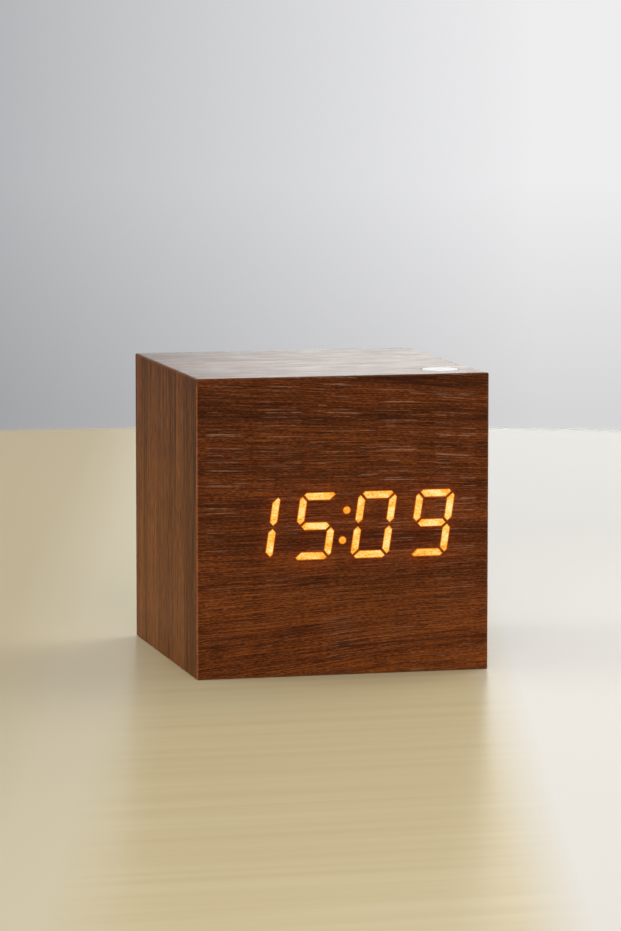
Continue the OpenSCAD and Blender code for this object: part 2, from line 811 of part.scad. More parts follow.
// Recess for the door, with the pivots' sockets, the catch's pockets and a finger notch
module door_seat() {
    seat_t = cover_t + seat_gap;
    top_z = tub_z + opening_h / 2;
    translate([0, 0, tub_z]) slab_y(cover_y + cut, seat_t + cut)
        square([opening_w, opening_h], center = true);
    translate([0, hinge_y, hinge_z]) rotate([0, 90, 0])
        cylinder(d = pivot_d + 2 * pivot_clear, h = door_w + 2 * (pivot_l + pivot_end_gap), center = true);
    for (x = [-nib_x, nib_x])
        translate([x - nib_w / 2 - pocket_play, hinge_y - nib_t / 2 - pocket_play, top_z - cut])
            cube([nib_w + 2 * pocket_play, nib_t + 2 * pocket_play, nib_bite + pocket_play + cut]);
    translate([0, cover_y + cut, top_z - notch_d / 4]) rod_y(notch_d, notch_sink + cut);
}

// Three troughs for the cells, a clear room at each end for the contacts, and the lugs' slots
module battery_bay() {
    for (i = [0:cell_count - 1]) translate([-tub_in_l / 2, cell_y, cell_z(i)]) rotate([0, 90, 0])
        cylinder(d = cell_d + 2 * cell_clear, h = tub_in_l);
    translate([-tub_in_l / 2, cell_y, tub_z - tub_in_w / 2]) cube([tub_in_l, plate_y - cell_y, tub_in_w]);
    for (side = [-1, 1]) translate([side * (tub_in_l - tub_end_room) / 2, (tub_in_y + plate_y) / 2, tub_z])
        cube([tub_end_room, plate_y - tub_in_y, tub_in_w], center = true);
    for (i = [0, cell_count - 1]) translate([lug_x(i), tub_in_y - tub_floor / 2, cell_z(i)])
        cube([2 * contact_t, tub_floor + 2 * cut, lug_w + 2 * lug_play], center = true);
}

function cell_z(i) = tub_z + (i - (cell_count - 1) / 2) * cell_pitch;
function cap_side(i) = i % 2 == 0 ? 1 : -1; // which way a cell's cap points
// The first cell's cap and the last cell's base carry the lugs
function lug_x(i) = (i == 0 ? 1 : -1) * (tub_in_l - contact_t) / 2;

module sound_slots() {
    slot_z = (wall + cover_gap + tub_z - opening_h / 2) / 2;
    run = sound_slot_l - sound_slot_w;
    for (i = [0:sound_slot_count - 1])
        translate([(i - (sound_slot_count - 1) / 2) * 2 * sound_slot_w, 0, slot_z])
            slab_y(cover_y + cut, cover_t + 2 * cut) {
                square([sound_slot_w, run], center = true);
                for (end = [-1, 1]) translate([0, end * run / 2]) circle(d = sound_slot_w);
            }
}

module cover_screws() {
    color(steel) for (x = [-block_x, block_x], z = block_rows) translate([x, cover_y - head_sink, z])
        screw_y(cover_screw_d, cover_screw_l + cover_t - head_sink - screw_tip_gap);
}

module battery_door() {
    top_z = tub_z + door_h / 2;
    side_h = top_z - door_corner_r - hinge_z;
    color(dark_plastic) difference() {
        union() {
            slab_y(cover_y, cover_t) {
                translate([0, hinge_z + side_h / 2]) square([door_w, side_h], center = true);
                translate([0, top_z - door_corner_r])
                    square([door_w - 2 * door_corner_r, 2 * door_corner_r], center = true);
                for (x = [-1, 1]) translate([x * (door_w / 2 - door_corner_r), top_z - door_corner_r])
                    circle(door_corner_r);
            }
            translate([0, hinge_y, hinge_z]) rotate([0, 90, 0]) {
                cylinder(d = cover_t, h = door_w, center = true);
                cylinder(d = pivot_d, h = door_w + 2 * pivot_l, center = true);
            }
            for (x = [-nib_x, nib_x]) translate([x - nib_w / 2, hinge_y - nib_t / 2, top_z - door_corner_r])
                cube([nib_w, nib_t, door_corner_r + door_gap + nib_bite]);
        }
        for (i = [0:grip_count - 1]) translate([0, cover_y, top_z - grip_drop - i * grip_pitch])
            cube([grip_groove.x, 2 * grip_groove.y, grip_groove.z], center = true);
    }
}

// Keys

module key_cap(x) {
    shoulder_y = cover_y + key_proud - key_ease;
    color(key_plastic) translate([x, 0, key_z]) {
        translate([0, shoulder_y, 0]) rotate([-90, 0, 0])
            cylinder(d1 = key_d, d2 = key_d - 2 * key_ease, h = key_ease);
        translate([0, shoulder_y, 0]) rod_y(key_d, shoulder_y - plate_y);
        translate([0, plate_y, 0]) rod_y(key_flange_d, key_flange_t);
        translate([0, plate_y - key_flange_t, 0]) rod_y(key_stem_d, key_stem_l);
    }
}

module set_button() { key_cap(key_xs[0]); }
module up_button() { key_cap(key_xs[1]); }
module down_button() { key_cap(key_xs[2]); }

module key_plunger(x) {
    color(white_plastic) translate([x, plate_y - key_flange_t - key_stem_l, key_z])
        rod_y(switch_plunger_d, switch_plunger_l + switch_plunger_sink);
}

module set_plunger() { key_plunger(key_xs[0]); }
module up_plunger() { key_plunger(key_xs[1]); }
module down_plunger() { key_plunger(key_xs[2]); }

module key_switches() {
    well_t = switch_plunger_sink + key_travel + switch_floor_gap;
    color(chip_black) for (x = key_xs) translate([x, key_y + switch_body_t, key_z]) difference() {
        translate([0, -switch_body_t / 2, 0]) cube([switch_side, switch_body_t, switch_side], center = true);
        translate([0, cut, 0]) rod_y(switch_plunger_d + 2 * switch_play, well_t + cut);
    }
}

module key_board() {
    color(board_green) difference() {
        translate([0, key_y - pcb_t / 2, key_z]) cube([key_board_w, pcb_t, key_board_h], center = true);
        for (x = [-boss_x, boss_x]) translate([x, key_y + cut, key_z])
            rod_y(boss_screw_d + 2 * boss_screw_play, pcb_t + 2 * cut);
    }
}

module key_board_screws() {
    color(steel) for (x = [-boss_x, boss_x]) translate([x, key_y - pcb_t, key_z]) rotate([0, 0, 180])
        screw_y(boss_screw_d, pcb_t + boss_screw_l - screw_tip_gap);
}

// Power socket

module power_jack() {
    nose_y = cover_y - jack_set_back;
    color(dark_plastic) difference() {
        union() {
            translate([jack_x, key_y + jack_body_t / 2, key_z])
                cube([jack_side, jack_body_t, jack_side], center = true);
            translate([jack_x, nose_y, key_z]) rod_y(jack_d, nose_y - key_y - jack_body_t);
        }
        translate([jack_x, nose_y + cut, key_z]) rod_y(jack_bore, jack_depth + cut);
    }
}

module power_jack_pin() {
    color(nickel) translate([jack_x, cover_y - jack_set_back - jack_pin_set_back, key_z])
        rod_y(jack_pin_d, jack_depth - jack_pin_set_back);
}

// Batteries

module battery_cells() {
    color(cell_jacket) for (i = [0:cell_count - 1])
        translate([cap_side(i) * (tub_in_l / 2 - contact_t), cell_y, cell_z(i)])
            rotate([0, -90 * cap_side(i), 0]) {
                cylinder(d = cap_d, h = cap_t);
                translate([0, 0, cap_t]) cylinder(d = cell_d, h = cell_l - cap_t);
            }
}

// A plate behind one cell end, or across the ends of two cells in series
module contact_plate(side, low, high) {
    translate([side * (tub_in_l - contact_t) / 2, tub_in_y + contact_h / 2, (cell_z(low) + cell_z(high)) / 2])
        cube([contact_t, contact_h, cell_z(high) - cell_z(low) + contact_w], center = true);
}

module contact_lug(i) {
    reach = tub_floor + lug_reach;
    translate([lug_x(i), tub_in_y - reach / 2, cell_z(i)]) cube([contact_t, reach, lug_w], center = true);
}

module battery_contacts() {
    color(nickel) {
        contact_plate(1, 0, 0);
        contact_lug(0);
        contact_plate(-1, 0, 1);
        contact_plate(1, 1, 2);
        contact_plate(-1, 2, 2);
        contact_lug(2);
    }
}

// A tube of triangles swept along points, each ring square to its own direction
function along(points, i) = let (
    last = len(points) - 1,
    step = points[min(i + 1, last)] - points[max(i - 1, 0)]
) step / norm(step);
function ring(points, i, r, sides, up) = let (
    ahead = along(points, i),
    across = cross(up, ahead),
    side = across / norm(across),
    over = cross(ahead, side)
) [for (k = [0:sides - 1]) points[i] + r * (cos(360 * k / sides) * side + sin(360 * k / sides) * over)];

module swept_tube(points, r, sides, up) {
    count = len(points);
    corners = [for (i = [0:count - 1]) each ring(points, i, r, sides, up)];
    walls = [for (i = [0:count - 2], k = [0:sides - 1]) let (
        a = i * sides + k, b = i * sides + (k + 1) % sides
    ) each [[a, b, b + sides], [a, b + sides, a + sides]]];
    first = [for (k = [1:sides - 2]) [0, k + 1, k]];
    end = (count - 1) * sides;
    last = [for (k = [1:sides - 2]) [end, end + k, end + k + 1]];
    polyhedron(corners, concat(walls, first, last));
}

// A contact spring tapers from the plate to the cell
spring_base_r = 3.3;
spring_tip_r = 2;
spring_seat = 0.02;
rings_per_turn = 8;
spring_rise = spring_l - spring_wire - 2 * spring_seat;
spring_rings = spring_turns * rings_per_turn;
function spring_point(t) = let (
    r = spring_base_r + (spring_tip_r - spring_base_r) * t,
    turn = 360 * spring_turns * t
) [r * cos(turn), r * sin(turn), spring_wire / 2 + spring_seat + spring_rise * t];
spring_points = [for (i = [0:spring_rings]) spring_point(i / spring_rings)];
spring_gap = min([for (i = [0:len(spring_points) - 1], k = [i + rings_per_turn / 2:len(spring_points) - 1])
    norm(spring_points[i] - spring_points[k])]) - spring_wire;
echo(str("Least gap between the turns of a contact spring: ", spring_gap, " mm"));

module battery_springs() {
    color(steel) for (i = [0:cell_count - 1])
        translate([-cap_side(i) * (tub_in_l / 2 - contact_t), cell_y, cell_z(i)])
            rotate([0, 90 * cap_side(i), 0]) swept_tube(spring_points, spring_wire / 2, 6, [0, 0, 1]);
}

// Wiring

// Height of the ribbon's middle line at a share of the way from board to board
function ribbon_drop(t) = -ribbon_sag * (1 - cos(360 * t)) / 2;

module ribbon_cable() {
    start_y = pcb_back + header_size.y;
    end_y = key_y - pcb_t - header_size.y;
    line = [
        for (i = [0:ribbon_steps]) let (t = i / ribbon_steps) [start_y + (end_y - start_y) * t, ribbon_drop(t)]
    ];
    upper = [for (p = line) [p.x, p.y + ribbon_t / 2]];
    lower = [for (i = [ribbon_steps:-1:0]) [line[i].x, line[i].y - ribbon_t / 2]];
    color(cable_grey) translate([ribbon_x, 0, key_z]) rotate([90, 0, 90])
        linear_extrude(ribbon_w, center = true) polygon(concat(upper, lower));
}

module ribbon_headers() {
    color(white_plastic) for (y = [pcb_back, key_y - pcb_t - header_size.y])
        translate([ribbon_x - header_size.x / 2, y, key_z - header_size.z / 2]) cube(header_size);
}

// A lead from a lug, under the tub and up to the key board
module battery_lead(i) {
    side = i == 0 ? 1 : -1;
    start = [lug_x(i) - side * (contact_t + lead_d) / 2, tub_out_y - lug_reach + lead_d, cell_z(i)];
    pad = [side * (boss_x - lead_pad_inset), key_y - pcb_t, key_z - lead_pad_drop];
    low_y = tub_out_y - lug_reach - lead_d;
    route = [
        start,
        [start.x, low_y + lead_d, start.z + lead_bend / 3],
        [start.x, low_y, start.z + lead_bend],
        [start.x, low_y, (start.z + pad.z) / 2],
        [(start.x + pad.x) / 2, low_y, pad.z - lead_bend],
        [pad.x, low_y + lead_d / 2, pad.z],
        [pad.x, (low_y + pad.y) / 2, pad.z],
        pad
    ];
    swept_tube(smoothed(route, 3), lead_d / 2, lead_sides, [1, 0.3, 0.2]);
}

// A smooth line through hand-picked points, with the given steps from one to the next
function smoothed(points, steps) = let (last = len(points) - 1) [
    for (i = [0:last - 1], k = [0:steps - 1]) curve_point(points, i, k / steps),
    points[last]
];
function curve_point(p, i, t) = let (
    last = len(p) - 1, a = p[max(i - 1, 0)], b = p[i], c = p[i + 1], d = p[min(i + 2, last)]
) 0.5 * (2 * b + (c - a) * t + (2 * a - 5 * b + 4 * c - d) * t * t + (3 * b - a - 3 * c + d) * t * t * t);

module positive_lead() { color(wire_red) battery_lead(0); }
module negative_lead() { color(wire_black) battery_lead(cell_count - 1); }

front_board();
top_board();
bottom_board();
left_board();
right_board();
front_veneer();
top_veneer();
bottom_veneer();
left_veneer();
right_veneer();
rear_edge_veneer();
corner_blocks();
lit_digits();
display_block();
segment_diffusers();
segment_leds();
main_board();
main_board_screws();
board_spacers();
control_chip();
driver_chip();
crystal();
coin_cell();
coin_cell_holder();
sounder();
microphone();
capacitor();
top_switch();
top_switch_plunger();
top_button();
top_button_ring();
rear_cover();
cover_screws();
battery_door();
set_button();
up_button();
down_button();
set_plunger();
up_plunger();
down_plunger();
key_switches();
key_board();
key_board_screws();
power_jack();
power_jack_pin();
battery_cells();
battery_springs();
battery_contacts();
ribbon_cable();
ribbon_headers();
positive_lead();
negative_lead();
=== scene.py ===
import math

import bmesh
import bpy
from mathutils import Matrix, Vector


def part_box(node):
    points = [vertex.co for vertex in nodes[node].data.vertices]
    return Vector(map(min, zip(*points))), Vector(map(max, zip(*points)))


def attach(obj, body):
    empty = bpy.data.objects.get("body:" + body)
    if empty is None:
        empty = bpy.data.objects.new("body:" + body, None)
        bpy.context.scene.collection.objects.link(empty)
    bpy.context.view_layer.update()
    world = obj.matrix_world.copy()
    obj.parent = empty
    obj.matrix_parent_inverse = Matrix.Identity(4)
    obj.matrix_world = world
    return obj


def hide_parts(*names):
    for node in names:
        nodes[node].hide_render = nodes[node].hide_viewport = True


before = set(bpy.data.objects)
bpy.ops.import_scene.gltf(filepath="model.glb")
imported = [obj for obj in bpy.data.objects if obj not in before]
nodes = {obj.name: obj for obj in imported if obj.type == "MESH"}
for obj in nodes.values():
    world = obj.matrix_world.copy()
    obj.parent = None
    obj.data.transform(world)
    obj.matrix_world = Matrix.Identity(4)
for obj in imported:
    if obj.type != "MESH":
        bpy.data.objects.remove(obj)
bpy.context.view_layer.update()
scene = bpy.context.scene
scene.view_settings.view_transform = "Standard"

# the wooden box without the button's disc, in metres
caseLow = Vector((
    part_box("left_veneer")[0].x,
    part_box("front_veneer")[0].y,
    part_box("bottom_veneer")[0].z,
))
caseHigh = Vector((
    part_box("right_veneer")[1].x,
    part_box("rear_edge_veneer")[1].y,
    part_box("top_veneer")[1].z,
))
caseMiddle = (caseLow + caseHigh) / 2
caseHalf = (caseHigh - caseLow) / 2


# camera, at the photograph's place
cameraSet = {
    "place": (-0.2375, -0.9664, 0.1578),
    "ahead": (0.23773, 0.96466, -0.11368),
    "roll": math.radians(0.013),
    "lens": 166.2,
    "sensor": 36.0,
    "nearest": 0.01,
    "farthest": 20.0,
}


def makeCamera():
    data = bpy.data.cameras.new("photoCamera")
    data.lens = cameraSet["lens"]
    data.sensor_width = cameraSet["sensor"]
    data.clip_start = cameraSet["nearest"]
    data.clip_end = cameraSet["farthest"]
    camera = bpy.data.objects.new("photoCamera", data)
    scene.collection.objects.link(camera)
    place = Matrix.Translation(cameraSet["place"])
    turn = Vector(cameraSet["ahead"]).to_track_quat("-Z", "Y").to_matrix().to_4x4()
    camera.matrix_world = place @ turn @ Matrix.Rotation(cameraSet["roll"], 4, "Z")
    scene.camera = camera


makeCamera()
print("camera set")


# small helpers for shader trees
def feed(tree, socket, value):
    if isinstance(value, bpy.types.NodeSocket):
        tree.links.new(value, socket)
    elif socket.type == "RGBA":
        socket.default_value = (*value, 1)
    else:
        socket.default_value = value


def feedAll(tree, inputs, values):
    for label, value in values.items():
        feed(tree, inputs[label], value)


def put(tree, kind, settings=None, feeds=None):
    node = tree.nodes.new("ShaderNode" + kind)
    for name, value in (settings or {}).items():
        setattr(node, name, value)
    feedAll(tree, node.inputs, feeds or {})
    return node


def calc(tree, operation, *values):
    node = put(tree, "Math", {"operation": operation})
    for socket, value in zip(node.inputs, values):
        feed(tree, socket, value)
    return node.outputs["Value"]


def vectorCalc(tree, operation, *vectors):
    node = put(tree, "VectorMath", {"operation": operation})
    for socket, value in zip(node.inputs, vectors):
        feed(tree, socket, value)
    return node.outputs


def stretch(tree, vector, factors):
    return vectorCalc(tree, "MULTIPLY", vector, factors)["Vector"]


def split(tree, vector):
    return put(tree, "SeparateXYZ", None, {"Vector": vector}).outputs


def combine(tree, x, y, z):
    return put(tree, "CombineXYZ", None, {"X": x, "Y": y, "Z": z}).outputs["Vector"]


def noise(tree, vector, scale=1.0, detail=2.0, roughness=0.5):
    feeds = {"Vector": vector, "Scale": scale, "Detail": detail, "Roughness": roughness}
    return put(tree, "TexNoise", None, feeds).outputs["Fac"]


def spread(tree, value, low, high, toLow=0.0, toHigh=1.0, smooth=False):
    kind = "SMOOTHSTEP" if smooth else "LINEAR"
    feeds = {"Value": value, "From Min": low, "From Max": high, "To Min": toLow, "To Max": toHigh}
    return put(tree, "MapRange", {"interpolation_type": kind}, feeds).outputs["Result"]


# a weighted sum of named values
def blendOf(tree, layers, shares, total):
    for name, share in shares.items():
        total = calc(tree, "MULTIPLY_ADD", layers[name], share, total)
    return total


def mixColour(tree, factor, first, second):
    node = put(tree, "Mix", {"data_type": "RGBA"})
    for index, value in ((0, factor), (6, first), (7, second)):  # the node's sockets for colours
        feed(tree, node.inputs[index], value)
    return node.outputs[2]


def mixVector(tree, factor, first, second):
    node = put(tree, "Mix", {"data_type": "VECTOR"})
    for index, value in ((0, factor), (4, first), (5, second)):  # the node's sockets for vectors
        feed(tree, node.inputs[index], value)
    return node.outputs[1]


def objectPlace(tree, location=(0, 0, 0), rotation=(0, 0, 0)):
    place = put(tree, "TexCoord").outputs["Object"]
    feeds = {"Vector": place, "Location": location, "Rotation": rotation}
    return put(tree, "Mapping", None, feeds).outputs["Vector"]


# one random value for each cell of a Voronoi texture
def chanceOf(tree, cells):
    return put(tree, "SeparateColor", None, {"Color": cells["Color"]}).outputs["Red"]


def newGroup(name, inputs, outputs):
    group = bpy.data.node_groups.new(name, "ShaderNodeTree")
    for label, kind, value in inputs:
        socket = group.interface.new_socket(name=label, in_out="INPUT", socket_type="NodeSocket" + kind)
        socket.default_value = value
    for label, kind in outputs:
        group.interface.new_socket(name=label, in_out="OUTPUT", socket_type="NodeSocket" + kind)
    return group, group.nodes.new("NodeGroupInput").outputs, group.nodes.new("NodeGroupOutput").inputs


def useGroup(tree, group, feeds):
    node = tree.nodes.new("ShaderNodeGroup")
    node.node_tree = group
    feedAll(tree, node.inputs, feeds)
    return node.outputs


def newMaterial(name, plain):
    material = bpy.data.materials.new(name)
    material.use_nodes = True
    tree = material.node_tree
    inputs = tree.nodes["Principled BSDF"].inputs
    feedAll(tree, inputs, plain)
    return material, tree, inputs


def bump(tree, inputs, height, distance, strength):
    feeds = {"Height": height, "Distance": distance, "Strength": strength}
    feed(tree, inputs["Normal"], put(tree, "Bump", None, feeds).outputs["Normal"])


# where most values of a noise texture lie, and where nearly all do
mostNoise = (0.3, 0.7)
wideNoise = (0.2, 0.8)

# walnut: X of the vector runs along the grain, Y across it, and Z picks the sheet
grainSet = {
    "archScale": (8, 14, 1),  # wide arches of the grain
    "swayScale": (16, 22, 1),  # slow bends
    "rippleScale": (60, 90, 1),  # quick ones
    "bends": {"arch": 0.009, "sway": 0.0028, "ripple": 0.0004},  # how far each carries a line
    "slowScale": (5, 48, 1),
    "bandScale": (9, 210, 1),
    "streakScale": (42, 1500, 1),
    "lineScale": (70, 5200, 1),
    "dashScale": (1000, 6600, 1),
    "slowShare": 0.6,  # of the slow figure in the bands
    "bandMiddle": 0.8,
    "toneShares": {"streaks": 0.18, "lines": 0.3, "dashes": 0.24},
    "toneMiddle": 0.36,
    "veinScale": (14, 260, 1),
    "veinWidth": 0.028,
    "veinBands": (0.55, 0.4),  # veins lie in the darker bands
    "darkness": 0.75,  # of veins and pores
    "poreScale": (210, 3600, 1),
    "poreChance": 0.5,  # cells with a higher random value have a stroke
    "longFleckScale": (75, 3500, 1),
    "longFleckChance": 0.76,
    "shortFleckScale": (170, 3900, 1),
    "shortFleckChance": 0.82,
    "strokeFade": 0.3,  # from the faintest stroke to the full one, in chance
    "strokeEdge": (0.36, 0.24),
    "patchScale": (22, 60, 1),  # flecks lie in patches
    "patchRange": (0.34, 0.6),
    "breakScale": (420, 900, 1),  # gaps along a fleck
    "breakRange": (0.36, 0.56),
    "faintest": 0.25,  # what is left of a fleck in a gap or between the patches
    "mottleScale": (150, 900, 1),
    "leastRough": 0.11,
    "roughShares": {"streaks": 0.18, "mottle": 0.26, "dashes": 0.06, "flecks": 0.12},
    "heightShares": {"lines": 0.5, "streaks": 0.5, "dark": -0.3},
    "relief": 0.00006,
    "reliefStrength": 0.5,
}


def grainNoise(tree, line, name, detail, roughness=0.5):
    return noise(tree, stretch(tree, line, grainSet[name + "Scale"]), detail=detail, roughness=roughness)


# flat strokes along the grain, one in each chosen cell
def strokes(tree, line, name):
    feeds = {"Vector": stretch(tree, line, grainSet[name + "Scale"]), "Scale": 1.0}
    cells = put(tree, "TexVoronoi", {"distance": "CHEBYCHEV"}, feeds).outputs
    shape = spread(tree, cells["Distance"], *grainSet["strokeEdge"])
    chance = grainSet[name + "Chance"]
    chosen = spread(tree, chanceOf(tree, cells), chance, chance + grainSet["strokeFade"])
    return calc(tree, "MULTIPLY", shape, chosen)


def makeGrainGroup():
    inputs = [
        ("Vector", "Vector", (0, 0, 0)),
        ("Dark", "Color", (0, 0, 0, 1)),
        ("Middle", "Color", (0, 0, 0, 1)),
        ("Warm", "Color", (0, 0, 0, 1)),
        ("Fleck", "Color", (0, 0, 0, 1)),
        ("Contrast", "Float", 1.0),
        ("Bands", "Float", 0.28),
        ("Flecks", "Float", 1.0),
        ("Lift", "Float", 0.0),
    ]
    outputs = [("Color", "Color"), ("Roughness", "Float"), ("Height", "Float")]
    tree, given, result = newGroup("walnutGrain", inputs, outputs)
    x, across, sheet = split(tree, given["Vector"])
    for name, reach in grainSet["bends"].items():
        bend = grainNoise(tree, given["Vector"], name, 1.0)
        across = calc(tree, "ADD", across, calc(tree, "MULTIPLY_ADD", bend, reach, -reach / 2))
    line = combine(tree, x, across, sheet)

    bands = grainNoise(tree, line, "band", 3.0)
    slow = grainNoise(tree, line, "slow", 1.0)
    layers = {
        "streaks": grainNoise(tree, line, "streak", 3.0, 0.6),
        "lines": spread(tree, grainNoise(tree, line, "line", 2.0, 0.6), *mostNoise),
        "dashes": spread(tree, grainNoise(tree, line, "dash", 1.0), *mostNoise),
        "mottle": grainNoise(tree, line, "mottle", 3.0, 0.6),
    }
    broad = calc(tree, "MULTIPLY_ADD", slow, grainSet["slowShare"], bands)
    tone = calc(tree, "MULTIPLY", calc(tree, "SUBTRACT", broad, grainSet["bandMiddle"]), given["Bands"])
    tone = blendOf(tree, layers, grainSet["toneShares"], tone)
    tone = calc(tree, "SUBTRACT", tone, grainSet["toneMiddle"])
    tone = calc(tree, "MULTIPLY_ADD", tone, given["Contrast"], 0.5)
    tone = calc(tree, "ADD", tone, given["Lift"])
    colour = mixColour(tree, spread(tree, tone, 0.0, 0.5), given["Dark"], given["Middle"])
    colour = mixColour(tree, spread(tree, tone, 0.5, 1.0), colour, given["Warm"])

    # long dark veins and short pores
    vein = calc(tree, "ABSOLUTE", calc(tree, "SUBTRACT", grainNoise(tree, line, "vein", 2.0), 0.5))
    vein = spread(tree, vein, grainSet["veinWidth"], 0.0)
    vein = calc(tree, "MULTIPLY", vein, spread(tree, bands, *grainSet["veinBands"]))
    layers["dark"] = calc(tree, "MAXIMUM", vein, strokes(tree, line, "pore"))
    darkness = calc(tree, "MULTIPLY", layers["dark"], grainSet["darkness"])
    colour = mixColour(tree, darkness, colour, given["Dark"])

    # pale flecks, in patches and with gaps
    flecks = calc(tree, "MAXIMUM", strokes(tree, line, "longFleck"), strokes(tree, line, "shortFleck"))
    patches = grainNoise(tree, given["Vector"], "patch", 1.0)
    broken = grainNoise(tree, line, "break", 2.0)
    for mask, limits in ((patches, grainSet["patchRange"]), (broken, grainSet["breakRange"])):
        flecks = calc(tree, "MULTIPLY", flecks, spread(tree, mask, *limits, grainSet["faintest"], 1.0))
    layers["flecks"] = calc(tree, "MULTIPLY", flecks, given["Flecks"])
    colour = mixColour(tree, layers["flecks"], colour, given["Fleck"])

    feedAll(tree, result, {
        "Color": colour,
        "Roughness": blendOf(tree, layers, grainSet["roughShares"], grainSet["leastRough"]),
        "Height": blendOf(tree, layers, grainSet["heightShares"], 0.0),
    })
    return tree


grainGroup = makeGrainGroup()


# painted highlight: paler wood along the eased edges of the box, where their rounding catches the light
edgeHighlightSet = {
    "reach": 0.00045,
    "solid": 0.0001,
    "strength": 0.9,
    "breakScale": 900.0,  # the pale line is uneven
    "breakRange": (0.3, 0.6),
    "faintest": 0.45,
    "topRange": (0.0005, 0.002),  # below the top, over which it gets fainter
    "atTop": 0.4,
}


def makeEdgeHighlightGroup():
    tree, given, result = newGroup("paintedEdgeHighlight", [("Vector", "Vector", (0, 0, 0))], [("Mask", "Float")])
    offset = vectorCalc(tree, "SUBTRACT", given["Vector"], caseMiddle)["Vector"]
    away = vectorCalc(tree, "ABSOLUTE", offset)["Vector"]
    x, y, z = split(tree, vectorCalc(tree, "SUBTRACT", caseHalf, away)["Vector"])
    # the second smallest distance to a face is the distance to the nearest edge
    larger = calc(tree, "MAXIMUM", x, y)
    nearEdge = calc(tree, "MAXIMUM", calc(tree, "MINIMUM", x, y), calc(tree, "MINIMUM", larger, z))
    mask = spread(tree, nearEdge, edgeHighlightSet["reach"], edgeHighlightSet["solid"])
    broken = noise(tree, given["Vector"], edgeHighlightSet["breakScale"])
    uneven = spread(tree, broken, *edgeHighlightSet["breakRange"], edgeHighlightSet["faintest"], 1.0)
    mask = calc(tree, "MULTIPLY", mask, uneven)
    heights = [caseHigh.z - below for below in edgeHighlightSet["topRange"]]
    fainter = spread(tree, split(tree, given["Vector"])["Z"], *heights, edgeHighlightSet["atTop"], 1.0)
    feed(tree, result["Mask"], calc(tree, "MULTIPLY", mask, fainter))
    return tree


edgeHighlightGroup = makeEdgeHighlightGroup()


# a copy of a CAD mesh with its triangles merged into whole faces
mergeSet = {"distance": 1e-6, "flat": math.radians(1)}
frontFacing = -0.9  # Y of a normal, below which a face belongs to the front


def mergedMesh(name):
    mesh = bmesh.new()
    mesh.from_mesh(nodes[name].data)
    bmesh.ops.remove_doubles(mesh, verts=mesh.verts, dist=mergeSet["distance"])
    bmesh.ops.dissolve_limit(mesh, angle_limit=mergeSet["flat"], verts=mesh.verts, edges=mesh.edges)
    return mesh


def frontFaces(mesh):
    return [face for face in mesh.faces if face.normal.y < frontFacing]


def edgeLength(verts):
    return (verts[1].co - verts[0].co).length


# middle, axis, half length and half width of a lit bar
def barOf(face):
    start, end = max((edge.verts for edge in face.edges), key=edgeLength)
    axis = (end.co - start.co).normalized()
    side = axis.cross(Vector((0, 1, 0)))
    reach = [vert.co.dot(axis) for vert in face.verts]
    width = [vert.co.dot(side) for vert in face.verts]
    middle = axis * (min(reach) + max(reach)) / 2 + side * (min(width) + max(width)) / 2
    middle.y = start.co.y
    return middle, axis, (max(reach) - min(reach)) / 2, (max(width) - min(width)) / 2


# lit wood: the light shows the grain, fades towards the ends of a bar and glows deeper at its rim
litSet = {
    "rims": ((0.0001, 0.3), (0.00011, 1.0)),  # width of each inset, and how bright it ends
    "edgeCore": 0.05,
    "tip": 1.5,  # length of a bar's pointed end, in half widths
    "dotLength": 1.5,  # a patch shorter than this, in half widths, is a dot of the colon
    "dotCore": 0.6,  # the dots are dimmer
    "soak": 0.0003,  # reach of the light in the veneer beside a bar
    "soakColour": (0.09, 0.009, 0.0006),
    "glow": 0.0045,  # reach of the faint red glow round the digits
    "glowColour": (0.026, 0.0014, 0.0),
    "sheet": (0, 0, 1.3),
    "weaveScale": (2300, 4300, 1),
    "weaveRange": (0.34, 0.66),
    "cloudScale": (300, 620, 1),
    "leastLight": 0.28,
    "lightShares": {"ends": -0.14, "weave": 0.42, "clouds": 0.44},
    "deep": (0.68, 0.085, 0.001),
    "steps": (  # the light over which each next colour comes in
        (0.0, 0.3, (0.94, 0.32, 0.008)),
        (0.3, 0.62, (1.0, 0.575, 0.085)),
        (0.62, 0.95, (1.0, 0.85, 0.36)),
    ),
    "wood": (0.04, 0.010, 0.002),
    "roughness": 0.5,
    "sheen": 0.02,
    "relief": 0.00006,
    "reliefStrength": 0.5,
}


# how much of the bars' light gets into the veneer beside them
def makeSoakGroup():
    outputs = [("Mask", "Float"), ("Glow", "Float")]
    tree, given, result = newGroup("litSoak", [("Vector", "Vector", (0, 0, 0))], outputs)
    mesh = mergedMesh("lit_digits")
    nearest = 1.0  # far from every bar
    for face in frontFaces(mesh):
        middle, axis, half, halfWidth = barOf(face)
        straight = max(0.0, half - litSet["tip"] * halfWidth)
        offset = vectorCalc(tree, "SUBTRACT", given["Vector"], middle)["Vector"]
        along = vectorCalc(tree, "DOT_PRODUCT", offset, axis)["Value"]
        along = calc(tree, "MAXIMUM", calc(tree, "MINIMUM", along, straight), -straight)
        scaled = put(tree, "VectorMath", {"operation": "SCALE"}, {"Vector": axis, "Scale": along})
        apart = vectorCalc(tree, "DISTANCE", offset, scaled.outputs["Vector"])["Value"]
        nearest = calc(tree, "MINIMUM", calc(tree, "SUBTRACT", apart, halfWidth), nearest)
    mesh.free()
    for label, reach in (("Mask", litSet["soak"]), ("Glow", litSet["glow"])):
        feed(tree, result[label], spread(tree, nearest, reach, 0.0, smooth=True))
    return tree


soakGroup = makeSoakGroup()

acrossFront = (math.radians(-90), 0, 0)  # grain along X, across Z
alongTop = (0, 0, 0)  # grain along X, across Y
upright = (0, math.radians(90), 0)  # grain along Z, across Y
upFront = (math.radians(-90), 0, math.radians(90))  # grain along Z, across X

